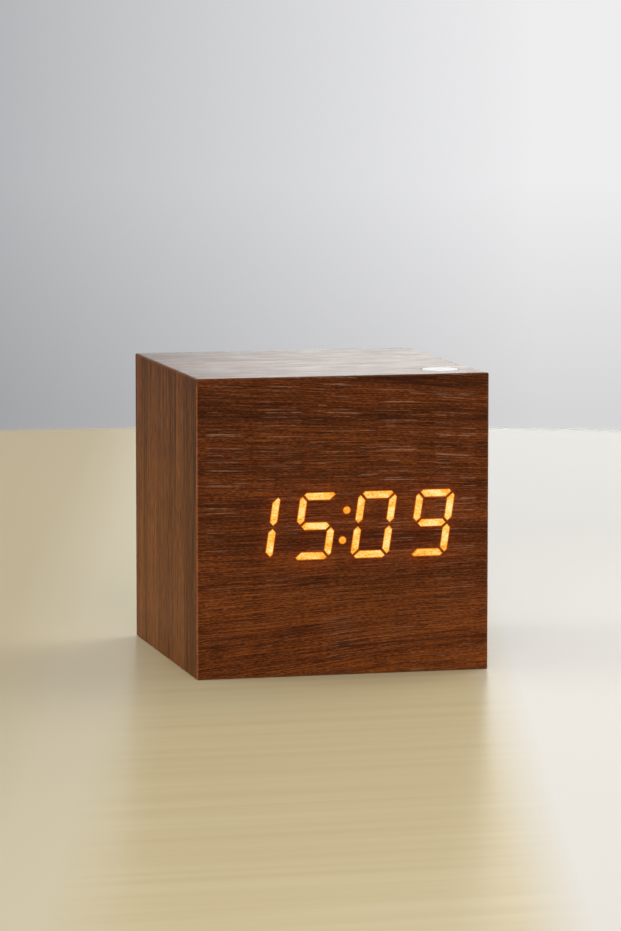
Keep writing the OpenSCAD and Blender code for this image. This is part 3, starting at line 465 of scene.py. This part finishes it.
# in each set, the edge colour is the painted highlight along the eased edges
frontColours = {
    "dark": (0.030, 0.0085, 0.0028),
    "middle": (0.109, 0.0268, 0.0058),
    "warm": (0.262, 0.0695, 0.0140),
    "fleck": (0.400, 0.220, 0.140),
    "edge": (0.300, 0.105, 0.045),
}

# the walnut colours for the top: greyer and less red than the front's, as painted sheen for the pale grazing
# reflection on top
topWoodAndSheenColours = {
    "dark": (0.030, 0.0098, 0.0036),
    "middle": (0.092, 0.0300, 0.0085),
    "warm": (0.215, 0.0730, 0.0210),
    "fleck": (0.330, 0.175, 0.105),
    "edge": (0.300, 0.110, 0.048),
}

# the walnut colours for the sides: paler and yellower than the front's, as painted light and sheen
sideWoodAndSheenColours = {
    "dark": (0.042, 0.0150, 0.0055),
    "middle": (0.124, 0.0410, 0.0105),
    "warm": (0.250, 0.0930, 0.0260),
    "fleck": (0.300, 0.150, 0.085),
    "edge": (0.320, 0.120, 0.052),
}

# the sheets of veneer, each cut from its own place in the wood; the top's and sides' colours are copies of
# the front's with painted sheen
veneerSets = {
    "frontWalnut": {
        "members": ["front_veneer"],
        "colours": frontColours, "turn": acrossFront, "sheet": (0, 0, 8.8), "fine": (1, 1, 1),
        "contrast": 2.3, "bands": 0.36, "flecks": 0.9, "sheen": 0.05,
        "lift": (0.075, -0.12), "fanRate": 3.4, "fanHeight": 0.045, "soaks": True,
    },
    "topWalnut": {
        "members": ["top_veneer", "bottom_veneer"],
        "colours": topWoodAndSheenColours, "turn": alongTop, "sheet": (0.4, 0, 2.6), "fine": (0.8, 0.7, 1),
        "contrast": 3.0, "bands": 0.28, "flecks": 0.8, "sheen": 0.12,
    },
    "sideWalnut": {
        "members": ["left_veneer", "right_veneer"],
        "colours": sideWoodAndSheenColours, "turn": upright, "sheet": (0.2, 0.3, 4.1), "fine": (0.3, 0.6, 1),
        "contrast": 2.8, "bands": 0.2, "flecks": 0.2, "sheen": 0.008,
        "lift": (0.05, -0.14),
    },
    "edgeWalnut": {
        "members": ["rear_edge_veneer"],
        "colours": frontColours, "turn": acrossFront, "sheet": (0.7, 0, 5.2), "fine": (0.8, 1, 1),
        "contrast": 2.6, "bands": 0.28, "flecks": 0.3, "sheen": 0.05,
        "uprightTurn": upFront,
    },
}

# shares of the case's height over which the colour gets darker and the flecks get more
liftSet = {"darkerFrom": 0.25, "flecksFrom": 0.3, "flecksTo": 0.6, "fewest": 0.5}


# 1 on the two upright strips of the frame at the back, which meet the others in a mitre
def uprightStrips(tree):
    place = split(tree, objectPlace(tree))
    beside = calc(tree, "ABSOLUTE", place["X"])
    above = calc(tree, "ABSOLUTE", calc(tree, "SUBTRACT", place["Z"], caseMiddle.z))
    return calc(tree, "GREATER_THAN", beside, above)


# the lines close up along the grain, towards the tip of an arch
def fanned(tree, vector, rate, height):
    x, y, z = split(tree, vector)
    closer = calc(tree, "MULTIPLY_ADD", x, rate, 1.0)
    across = calc(tree, "MULTIPLY_ADD", calc(tree, "SUBTRACT", y, height), closer, height)
    return combine(tree, x, across, z)


def walnut(name, look):
    material, tree, inputs = newMaterial(name, {"Specular IOR Level": look["sheen"]})
    vector = objectPlace(tree, look["sheet"], look["turn"])
    if "fanRate" in look:
        vector = fanned(tree, vector, look["fanRate"], look["fanHeight"])
    if "uprightTurn" in look:
        turned = objectPlace(tree, look["sheet"], look["uprightTurn"])
        vector = mixVector(tree, uprightStrips(tree), vector, turned)
    feeds = {"Vector": stretch(tree, vector, look["fine"])}
    feeds.update({key.capitalize(): look["colours"][key] for key in ("dark", "middle", "warm", "fleck")})
    feeds.update({key.capitalize(): look[key] for key in ("contrast", "bands", "flecks")})
    if "lift" in look:  # darker towards the top of the case, with more flecks there
        z = split(tree, objectPlace(tree))["Z"]
        feeds["Lift"] = spread(tree, z, caseHigh.z * liftSet["darkerFrom"], caseHigh.z, *look["lift"])
        heights = [caseHigh.z * liftSet[key] for key in ("flecksFrom", "flecksTo")]
        feeds["Flecks"] = spread(tree, z, *heights, liftSet["fewest"] * look["flecks"], look["flecks"])
    grain = useGroup(tree, grainGroup, feeds)
    # painted highlight along the eased edges, in the set's edge colour
    edgeLit = useGroup(tree, edgeHighlightGroup, {"Vector": objectPlace(tree)})["Mask"]
    edgeLit = calc(tree, "MULTIPLY", edgeLit, edgeHighlightSet["strength"])
    feed(tree, inputs["Base Color"], mixColour(tree, edgeLit, grain["Color"], look["colours"]["edge"]))
    feed(tree, inputs["Roughness"], grain["Roughness"])
    bump(tree, inputs, grain["Height"], grainSet["relief"], grainSet["reliefStrength"])
    if look.get("soaks"):
        soaked = useGroup(tree, soakGroup, {"Vector": objectPlace(tree)})
        light = mixColour(tree, soaked["Glow"], (0, 0, 0), litSet["glowColour"])
        light = mixColour(tree, soaked["Mask"], light, litSet["soakColour"])
        feedAll(tree, inputs, {"Emission Color": light, "Emission Strength": 1.0})
    return material


def amberLight():
    material, tree, inputs = newMaterial("amberLight", {
        "Base Color": litSet["wood"],
        "Roughness": litSet["roughness"],
        "Specular IOR Level": litSet["sheen"],
        "Emission Strength": 1.0,
    })
    core = put(tree, "Attribute", {"attribute_name": "core"}).outputs["Fac"]
    along = put(tree, "Attribute", {"attribute_name": "along"}).outputs["Fac"]
    place = objectPlace(tree, litSet["sheet"], acrossFront)
    weave = noise(tree, stretch(tree, place, litSet["weaveScale"]), detail=1.0)
    clouds = noise(tree, stretch(tree, place, litSet["cloudScale"]))
    layers = {
        "ends": calc(tree, "MULTIPLY", along, along),
        "weave": spread(tree, weave, *litSet["weaveRange"]),
        "clouds": spread(tree, clouds, *mostNoise),
    }
    light = calc(tree, "MULTIPLY", blendOf(tree, layers, litSet["lightShares"], litSet["leastLight"]), core)
    colour = litSet["deep"]
    for low, high, brighter in litSet["steps"]:
        colour = mixColour(tree, spread(tree, light, low, high), colour, brighter)
    feed(tree, inputs["Emission Color"], colour)
    bump(tree, inputs, weave, litSet["relief"], litSet["reliefStrength"])
    return material


# moulded plastic: fine spark texture with a little unevenness
mouldSet = {
    "grain": 2500.0,
    "relief": 0.00002,
    "reliefStrength": 0.6,
    "sheen": 0.5,
    "cloudScale": 90.0,
    "cloudRange": (0.25, 0.75),
    "unevenness": 0.06,
    "shadeShares": {"fine": 0.5, "cloud": 0.5},
}

plasticSets = {
    "coverPlastic": {
        "members": ["rear_cover", "battery_door"],
        "low": (0.009, 0.009, 0.0095), "high": (0.017, 0.017, 0.018),
        "roughness": 0.55, "grain": 2200.0, "relief": 0.00004,
    },
    "innerPlastic": {
        "members": ["display_block", "power_jack", "coin_cell_holder", "sounder"],
        "low": (0.011, 0.011, 0.012), "high": (0.018, 0.018, 0.02),
        "roughness": 0.45,
    },
    "keyPlastic": {
        "members": ["set_button", "up_button", "down_button"],
        "low": (0.021, 0.021, 0.023), "high": (0.03, 0.03, 0.033),
        "roughness": 0.38, "grain": 1800.0, "relief": 0.00001,
    },
    "discWhite": {
        "members": ["top_button"],
        "low": (0.735, 0.735, 0.735), "high": (0.785, 0.785, 0.785),
        "roughness": 0.42, "grain": 1500.0, "relief": 0.000006, "sheen": 0.02,
    },
    "innerWhite": {
        "members": ["top_switch_plunger", "set_plunger", "up_plunger", "down_plunger", "ribbon_headers",
                    "board_spacers"],
        "low": (0.72, 0.72, 0.69), "high": (0.8, 0.8, 0.77),
        "roughness": 0.42,
    },
    "diffuser": {
        "members": ["segment_diffusers"],
        "low": (0.66, 0.6, 0.46), "high": (0.74, 0.69, 0.56),
        "roughness": 0.4, "grain": 1200.0,
    },
    "lightChip": {
        "members": ["segment_leds"],
        "low": (0.62, 0.55, 0.2), "high": (0.72, 0.66, 0.32),
        "roughness": 0.35, "grain": 3000.0,
    },
    "chipBlack": {
        "members": ["control_chip", "driver_chip", "top_switch", "key_switches"],
        "low": (0.008, 0.008, 0.009), "high": (0.015, 0.015, 0.017),
        "roughness": 0.6, "grain": 3000.0,
    },
    "capacitorSleeve": {
        "members": ["capacitor"],
        "low": (0.006, 0.01, 0.03), "high": (0.012, 0.018, 0.048),
        "roughness": 0.3,
    },
    "redWire": {
        "members": ["positive_lead"],
        "low": (0.24, 0.012, 0.008), "high": (0.34, 0.02, 0.012),
        "roughness": 0.4,
    },
    "blackWire": {
        "members": ["negative_lead"],
        "low": (0.008, 0.008, 0.008), "high": (0.016, 0.016, 0.016),
        "roughness": 0.4,
    },
}


def makeMouldGroup():
    inputs = [("Vector", "Vector", (0, 0, 0)), ("Grain", "Float", mouldSet["grain"])]
    outputs = [("Shade", "Float"), ("Roughness", "Float"), ("Height", "Float")]
    tree, given, result = newGroup("mouldTexture", inputs, outputs)
    layers = {
        "fine": noise(tree, given["Vector"], given["Grain"], 3.0, 0.6),
        "cloud": noise(tree, given["Vector"], mouldSet["cloudScale"], 3.0, 0.55),
    }
    uneven = mouldSet["unevenness"]
    feedAll(tree, result, {
        "Shade": blendOf(tree, layers, mouldSet["shadeShares"], 0.0),
        "Roughness": spread(tree, layers["cloud"], *mouldSet["cloudRange"], -uneven, uneven),
        "Height": layers["fine"],
    })
    return tree


mouldGroup = makeMouldGroup()


def moulded(name, look):
    look = {**mouldSet, **look}
    material, tree, inputs = newMaterial(name, {"Specular IOR Level": look["sheen"]})
    texture = useGroup(tree, mouldGroup, {"Vector": objectPlace(tree), "Grain": look["grain"]})
    shade = spread(tree, texture["Shade"], *mostNoise)
    feed(tree, inputs["Base Color"], mixColour(tree, shade, look["low"], look["high"]))
    feed(tree, inputs["Roughness"], calc(tree, "ADD", texture["Roughness"], look["roughness"]))
    bump(tree, inputs, texture["Height"], look["relief"], look["reliefStrength"])
    return material


# plated metal with fine drawn lines, and painted shade in the recess of a screw's head
metalSet = {
    "unevenness": 0.2,
    "recess": (0.00025, 0.00045),  # below the top of the head
    "recessShadeColour": (0.03, 0.03, 0.032),
    "relief": 0.00001,
    "reliefStrength": 0.4,
}

metalSets = {
    "steel": {
        "members": ["main_board_screws", "key_board_screws", "top_button_ring", "battery_springs",
                    "coin_cell", "microphone"],
        "low": (0.4, 0.41, 0.43), "high": (0.6, 0.61, 0.63),
        "roughness": 0.34, "lineScale": (2600, 260, 2600),
    },
    "screwSteel": {
        "members": ["cover_screws"],
        "low": (0.42, 0.42, 0.43), "high": (0.6, 0.6, 0.61),
        "roughness": 0.3, "lineScale": (900, 900, 900), "headTop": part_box("cover_screws")[1].y,
    },
    "nickel": {
        "members": ["battery_contacts", "power_jack_pin", "crystal"],
        "low": (0.52, 0.49, 0.42), "high": (0.68, 0.65, 0.57),
        "roughness": 0.24, "lineScale": (300, 2400, 2400),
    },
}


def metal(name, look):
    material, tree, inputs = newMaterial(name, {"Metallic": 1.0})
    vector = objectPlace(tree)
    drawn = noise(tree, stretch(tree, vector, look["lineScale"]), 1.0, 3.0, 0.6)
    colour = mixColour(tree, spread(tree, drawn, *mostNoise), look["low"], look["high"])
    # painted shade in the recess of the screw's head
    if "headTop" in look:
        depths = [look["headTop"] - below for below in metalSet["recess"]]
        recess = spread(tree, split(tree, vector)["Y"], *depths)
        colour = mixColour(tree, recess, colour, metalSet["recessShadeColour"])
    uneven = metalSet["unevenness"]
    feed(tree, inputs["Base Color"], colour)
    feed(tree, inputs["Roughness"], calc(tree, "MULTIPLY_ADD", drawn, uneven, look["roughness"] - uneven / 2))
    bump(tree, inputs, drawn, metalSet["relief"], metalSet["reliefStrength"])
    return material


fibreSet = {
    "members": ["front_board", "top_board", "bottom_board", "left_board", "right_board"],
    "dark": (0.21, 0.125, 0.06), "pale": (0.42, 0.28, 0.15),
    "sheen": 0.25, "roughness": (0.7, 0.95),
    "fibreScale": (900, 900, 2600), "cloudScale": 120.0,
    "shadeShares": {"fibres": 0.6, "cloud": 0.4},
    "relief": 0.0001, "reliefStrength": 0.5,
}


def fibreboard(name, look):
    material, tree, inputs = newMaterial(name, {"Specular IOR Level": look["sheen"]})
    vector = objectPlace(tree)
    layers = {
        "fibres": noise(tree, stretch(tree, vector, look["fibreScale"]), 1.0, 4.0, 0.65),
        "cloud": noise(tree, vector, look["cloudScale"]),
    }
    shade = blendOf(tree, layers, look["shadeShares"], 0.0)
    paler = spread(tree, shade, *mostNoise)
    feed(tree, inputs["Base Color"], mixColour(tree, paler, look["dark"], look["pale"]))
    feed(tree, inputs["Roughness"], spread(tree, layers["fibres"], *wideNoise, *look["roughness"]))
    bump(tree, inputs, layers["fibres"], look["relief"], look["reliefStrength"])
    return material


pineSet = {
    "members": ["corner_blocks"],
    "pale": (0.66, 0.44, 0.22), "dark": (0.42, 0.22, 0.08),
    "sheen": 0.3, "roughness": (0.5, 0.75),
    "ringScale": (420, 12, 420), "fibreScale": (2600, 60, 2600),
    "shadeShares": {"rings": 0.7, "fibres": 0.3}, "shadeRange": (0.35, 0.65),
    "relief": 0.0001, "reliefStrength": 0.4,
}


def pine(name, look):
    material, tree, inputs = newMaterial(name, {"Specular IOR Level": look["sheen"]})
    vector = objectPlace(tree)
    layers = {
        "rings": noise(tree, stretch(tree, vector, look["ringScale"])),
        "fibres": noise(tree, stretch(tree, vector, look["fibreScale"])),
    }
    shade = blendOf(tree, layers, look["shadeShares"], 0.0)
    darker = spread(tree, shade, *look["shadeRange"])
    feed(tree, inputs["Base Color"], mixColour(tree, darker, look["pale"], look["dark"]))
    feed(tree, inputs["Roughness"], spread(tree, layers["fibres"], *wideNoise, *look["roughness"]))
    bump(tree, inputs, shade, look["relief"], look["reliefStrength"])
    return material


# solder mask with faint tracks and plated holes
boardSet = {
    "members": ["main_board", "key_board"],
    "dark": (0.006, 0.055, 0.022), "pale": (0.012, 0.085, 0.034), "cloudScale": 160.0,
    "track": (0.03, 0.17, 0.075), "trackScale": 260.0, "trackWidth": 0.05, "trackEdge": 0.2,
    "trackShare": 0.55, "trackOffset": 0.37, "trackSquash": 1.4,
    "hole": (0.62, 0.5, 0.22), "holeScale": 420.0, "holeEdge": (0.2, 0.15), "holeChance": (0.72, 0.74),
    "coat": 0.3, "roughness": (0.28, 0.42),
    "relief": 0.00003, "reliefStrength": 0.5,
}


def circuitBoard(name, look):
    material, tree, inputs = newMaterial(name, {"Coat Weight": look["coat"]})
    vector = objectPlace(tree, rotation=acrossFront)
    bricks = {"offset": look["trackOffset"], "squash": look["trackSquash"]}
    tracks = put(tree, "TexBrick", bricks, {
        "Vector": vector, "Scale": look["trackScale"], "Mortar Size": look["trackWidth"],
        "Mortar Smooth": look["trackEdge"], "Bias": 0.0,
        "Color1": (0, 0, 0), "Color2": (0, 0, 0), "Mortar": (1, 1, 1),
    }).outputs["Color"]
    cloud = noise(tree, vector, look["cloudScale"])
    green = mixColour(tree, cloud, look["dark"], look["pale"])
    colour = mixColour(tree, calc(tree, "MULTIPLY", tracks, look["trackShare"]), green, look["track"])
    cells = put(tree, "TexVoronoi", None, {"Vector": vector, "Scale": look["holeScale"]}).outputs
    chosen = spread(tree, chanceOf(tree, cells), *look["holeChance"])
    holes = calc(tree, "MULTIPLY", spread(tree, cells["Distance"], *look["holeEdge"]), chosen)
    feed(tree, inputs["Base Color"], mixColour(tree, holes, colour, look["hole"]))
    feed(tree, inputs["Metallic"], holes)
    feed(tree, inputs["Roughness"], spread(tree, cloud, *wideNoise, *look["roughness"]))
    bump(tree, inputs, calc(tree, "ADD", tracks, holes), look["relief"], look["reliefStrength"])
    return material


# plain sleeve with bare steel at both ends and two thin rings
cellSet = {
    "members": ["battery_cells"],
    "dark": (0.008, 0.045, 0.13), "pale": (0.014, 0.075, 0.19), "fineScale": (60, 1600, 1600),
    "ring": 0.0176, "ringHalf": 0.0005, "ringSolid": 0.0004, "ringColour": (0.62, 0.64, 0.66),
    "bare": (0.0203, 0.0204), "bareColour": (0.6, 0.6, 0.58),  # from the middle of the cell
    "coat": 0.4, "roughness": (0.22, 0.38),
}


def cellJacket(name, look):
    material, tree, inputs = newMaterial(name, {"Coat Weight": look["coat"]})
    vector = objectPlace(tree)
    x = calc(tree, "ABSOLUTE", split(tree, vector)["X"])
    fine = noise(tree, stretch(tree, vector, look["fineScale"]))
    sleeve = mixColour(tree, spread(tree, fine, *mostNoise), look["dark"], look["pale"])
    toRing = calc(tree, "ABSOLUTE", calc(tree, "SUBTRACT", x, look["ring"]))
    ring = spread(tree, toRing, look["ringHalf"], look["ringSolid"])
    bare = spread(tree, x, *look["bare"])
    colour = mixColour(tree, ring, sleeve, look["ringColour"])
    feed(tree, inputs["Base Color"], mixColour(tree, bare, colour, look["bareColour"]))
    feed(tree, inputs["Metallic"], bare)
    feed(tree, inputs["Roughness"], spread(tree, fine, *wideNoise, *look["roughness"]))
    return material


# flat cable: one groove between each two wires
cableSet = {
    "members": ["ribbon_cable"],
    "groove": (0.1, 0.102, 0.108), "wire": (0.3, 0.305, 0.32), "wireScale": 125.0,
    "roughness": (0.4, 0.6), "roughScale": 900.0,
    "relief": 0.0003, "reliefStrength": 0.6,
}


def greyCable(name, look):
    material, tree, inputs = newMaterial(name, {})
    vector = objectPlace(tree)
    waves = {"wave_type": "BANDS", "bands_direction": "X"}
    feeds = {"Vector": vector, "Scale": look["wireScale"], "Distortion": 0.0}
    wave = put(tree, "TexWave", waves, feeds).outputs["Fac"]
    rough = noise(tree, vector, look["roughScale"])
    feed(tree, inputs["Base Color"], mixColour(tree, wave, look["groove"], look["wire"]))
    feed(tree, inputs["Roughness"], spread(tree, rough, *wideNoise, *look["roughness"]))
    bump(tree, inputs, wave, look["relief"], look["reliefStrength"])
    return material


# what makes each finish, and the looks that it is made for
finishes = (
    (walnut, veneerSets),
    (moulded, plasticSets),
    (metal, metalSets),
    (fibreboard, {"fibreboard": fibreSet}),
    (pine, {"pine": pineSet}),
    (circuitBoard, {"circuitBoard": boardSet}),
    (cellJacket, {"cellJacket": cellSet}),
    (greyCable, {"greyCable": cableSet}),
)


def dress(piece, material):
    piece.data.materials.clear()
    piece.data.materials.append(material)


for finish, looks in finishes:
    for name, look in looks.items():
        material = finish(name, look)
        for member in look["members"]:
            dress(nodes[member], material)
print("finishes:", sum(len(looks) for finish, looks in finishes))


# a new piece in place of a CAD node
def addPiece(mesh, label, material, body, node):
    data = bpy.data.meshes.new(label)
    mesh.to_mesh(data)
    mesh.free()
    piece = bpy.data.objects.new(label, data)
    scene.collection.objects.link(piece)
    dress(piece, material)
    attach(piece, body)
    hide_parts(node)


# the lit patches, with rims that fade into the core
def makeLitDigits():
    mesh = mergedMesh("lit_digits")
    fronts = frontFaces(mesh)
    bars = [(face, barOf(face)) for face in fronts]
    core = mesh.verts.layers.float.new("core")
    along = mesh.verts.layers.float.new("along")
    for vert in mesh.verts:
        vert[core] = litSet["edgeCore"]
    for width, bright in litSet["rims"]:
        bmesh.ops.inset_individual(mesh, faces=fronts, thickness=width, use_even_offset=True)
        for face, (middle, axis, half, halfWidth) in bars:
            isDot = half < litSet["dotLength"] * halfWidth
            for vert in face.verts:
                vert[core] = bright * (litSet["dotCore"] if isDot else 1.0)
                vert[along] = 0.0 if isDot else (vert.co - middle).dot(axis) / half
    addPiece(mesh, "litDigits", amberLight(), "case", "lit_digits")


makeLitDigits()
print("lit digits made")


# moulded pieces with the edges that show eased, as they come out of a tool; depth is how far from
# the outermost face the edges are eased
softSet = {
    "rearCover": {
        "node": "rear_cover", "body": "case", "slot": "black_plastic", "width": 0.0002, "depth": 0.0008,
    },
    "batteryDoor": {
        "node": "battery_door", "body": "door", "slot": "black_plastic", "width": 0.0002, "depth": 0.01,
    },
    "setButton": {
        "node": "set_button", "body": "set_key", "slot": "key_plastic", "width": 0.00025, "depth": 0.0004,
    },
    "upButton": {
        "node": "up_button", "body": "up_key", "slot": "key_plastic", "width": 0.00025, "depth": 0.0004,
    },
    "downButton": {
        "node": "down_button", "body": "down_key", "slot": "key_plastic", "width": 0.00025, "depth": 0.0004,
    },
    "powerJack": {
        "node": "power_jack", "body": "case", "slot": "black_plastic", "width": 0.0002, "depth": 0.0012,
    },
    "coverScrews": {
        "node": "cover_screws", "body": "case", "slot": "steel", "width": 0.0002, "depth": 0.0003,
    },
    "topButton": {
        "node": "top_button", "body": "top_key", "slot": "white_plastic", "width": 0.0001, "depth": 0.01,
    },
}
softAngle = math.radians(40)
smallFace = 1.5e-6  # square metres, under which a face is part of a curve


def soften(label, look):
    mesh = mergedMesh(look["node"])
    outer = max(vert.co.y for vert in mesh.verts) - look["depth"]
    sharp = [edge for edge in mesh.edges if edge.is_convex and edge.calc_face_angle() > softAngle]
    rims = [edge for edge in sharp if min(vert.co.y for vert in edge.verts) > outer]
    bmesh.ops.bevel(mesh, geom=rims, offset=look["width"], offset_type="OFFSET", segments=2, profile=0.5,
                    affect="EDGES", clamp_overlap=False, material=-1)
    for face in mesh.faces:
        face.smooth = face.calc_area() < smallFace
    for edge in mesh.edges:
        edge.smooth = edge.calc_face_angle() < softAngle
    addPiece(mesh, label, nodes[look["node"]].data.materials[0], look["body"], look["node"])


for label, look in softSet.items():
    soften(label, look)
print("softened pieces:", len(softSet))


# pale floor with painted glare at the right and painted reflections at the left; each range is in metres, to
# the right of the middle or towards the back
floorSet = {
    "radius": 0.513,
    "fade": 0.02,
    "segments": 128,
    "colour": (0.60, 0.505, 0.305),
    "second": (0.555, 0.45, 0.255),
    "cloudScale": (6, 160, 1),
    "right": (0.645, 0.608, 0.55),  # painted glare of the lamps, towards the right
    "rightGlareBack": (0.485, 0.460, 0.42),
    "rightRange": (0.036, 0.048),
    "backRange": (-0.02, 0.2),
    # painted reflections: paler beside the case on the left, darker and yellower farther left
    "left": (0.61, 0.535, 0.365),
    "leftRange": (-0.03, -0.045),
    "farLeft": (0.545, 0.45, 0.275),
    "farLeftRange": (-0.055, -0.075),
    "roughness": 0.3,
    "sheen": 0.012,
}


def paleFloor():
    plain = {"Roughness": floorSet["roughness"], "Specular IOR Level": floorSet["sheen"]}
    material, tree, inputs = newMaterial("paleFloor", plain)
    place = objectPlace(tree)
    cloud = noise(tree, stretch(tree, place, floorSet["cloudScale"]))
    colour = mixColour(tree, spread(tree, cloud, *mostNoise), floorSet["second"], floorSet["colour"])
    toRight = Vector(cameraSet["ahead"]).cross((0, 0, 1)).normalized()
    sideways = vectorCalc(tree, "DOT_PRODUCT", place, toRight)["Value"]
    # painted glare at the right, fainter towards the back, then the painted reflections at the left
    toBack = spread(tree, split(tree, place)["Y"], *floorSet["backRange"])
    bright = mixColour(tree, toBack, floorSet["right"], floorSet["rightGlareBack"])
    for part, other in (("right", bright), ("left", floorSet["left"]), ("farLeft", floorSet["farLeft"])):
        colour = mixColour(tree, spread(tree, sideways, *floorSet[part + "Range"]), colour, other)
    feed(tree, inputs["Base Color"], colour)
    reach = vectorCalc(tree, "LENGTH", place)["Value"]
    rim = (floorSet["radius"], floorSet["radius"] - floorSet["fade"])
    feed(tree, inputs["Alpha"], spread(tree, reach, *rim, smooth=True))
    return material


def makeFloor():
    mesh = bmesh.new()
    bmesh.ops.create_circle(mesh, cap_ends=True, segments=floorSet["segments"], radius=floorSet["radius"])
    data = bpy.data.meshes.new("floor")
    mesh.to_mesh(data)
    mesh.free()
    floor = bpy.data.objects.new("floor", data)
    scene.collection.objects.link(floor)
    dress(floor, paleFloor())


makeFloor()


# soft studio light: large lamps from the right, from behind and from the left, and a fill from the front
lampSet = {
    "key": {"place": (0.8, 0.35, 0.95), "size": 0.9, "power": 4.8, "colour": (1.0, 0.985, 0.96)},
    "back": {"place": (1.0, 1.6, 0.45), "size": 1.5, "power": 13.5, "colour": (0.962, 0.985, 0.95)},
    "left": {"place": (-1.2, 0.2, 0.36), "size": 0.9, "power": 9.0, "colour": (1.0, 0.98, 0.95)},
    "fill": {"place": (-0.25, -1.25, 0.75), "size": 1.1, "power": 12.1, "colour": (1.0, 0.98, 0.95)},
}


def makeLamps():
    for name, lamp in lampSet.items():
        data = bpy.data.lights.new(name + "Lamp", "AREA")
        data.shape = "DISK"
        data.size = lamp["size"]
        data.energy = lamp["power"]
        data.color = lamp["colour"]
        light = bpy.data.objects.new(name + "Lamp", data)
        light.location = lamp["place"]
        light.visible_camera = False
        light.rotation_euler = (caseMiddle - light.location).to_track_quat("-Z", "Y").to_euler()
        scene.collection.objects.link(light)


# the wall behind, what glossy pieces mirror, and a light all round; ranges are parts of a direction
worldSet = {
    "ambient": (0.34, 0.345, 0.36),
    "left": (0.44, 0.445, 0.46),
    "right": (0.85, 0.85, 0.86),
    "leftToRight": (0.16, 0.289),
    "foot": 0.79,  # the wall is darker towards the floor
    "footRange": (-0.101, -0.048),
    "cameraSide": (0.10, 0.10, 0.105),
    "cameraSideRange": (-0.5, 0.2),
}


def makeWorld():
    world = bpy.data.worlds.new("studio")
    world.use_nodes = True
    scene.world = world
    tree = world.node_tree
    direction = split(tree, put(tree, "TexCoord").outputs["Generated"])
    side = spread(tree, direction["X"], *worldSet["leftToRight"])
    shown = mixColour(tree, side, worldSet["left"], worldSet["right"])
    lit = spread(tree, direction["Z"], *worldSet["footRange"], worldSet["foot"], 1.0)
    shown = mixColour(tree, lit, (0, 0, 0), shown)
    behind = spread(tree, direction["Y"], *worldSet["cameraSideRange"], smooth=True)
    mirrored = mixColour(tree, behind, worldSet["cameraSide"], shown)
    path = put(tree, "LightPath").outputs
    glossy = calc(tree, "MAXIMUM", path["Is Glossy Ray"], path["Is Transmission Ray"])
    colour = mixColour(tree, glossy, worldSet["ambient"], mirrored)
    colour = mixColour(tree, path["Is Camera Ray"], colour, shown)
    feed(tree, tree.nodes["Background"].inputs["Color"], colour)


makeLamps()
makeWorld()
print("stage lit")
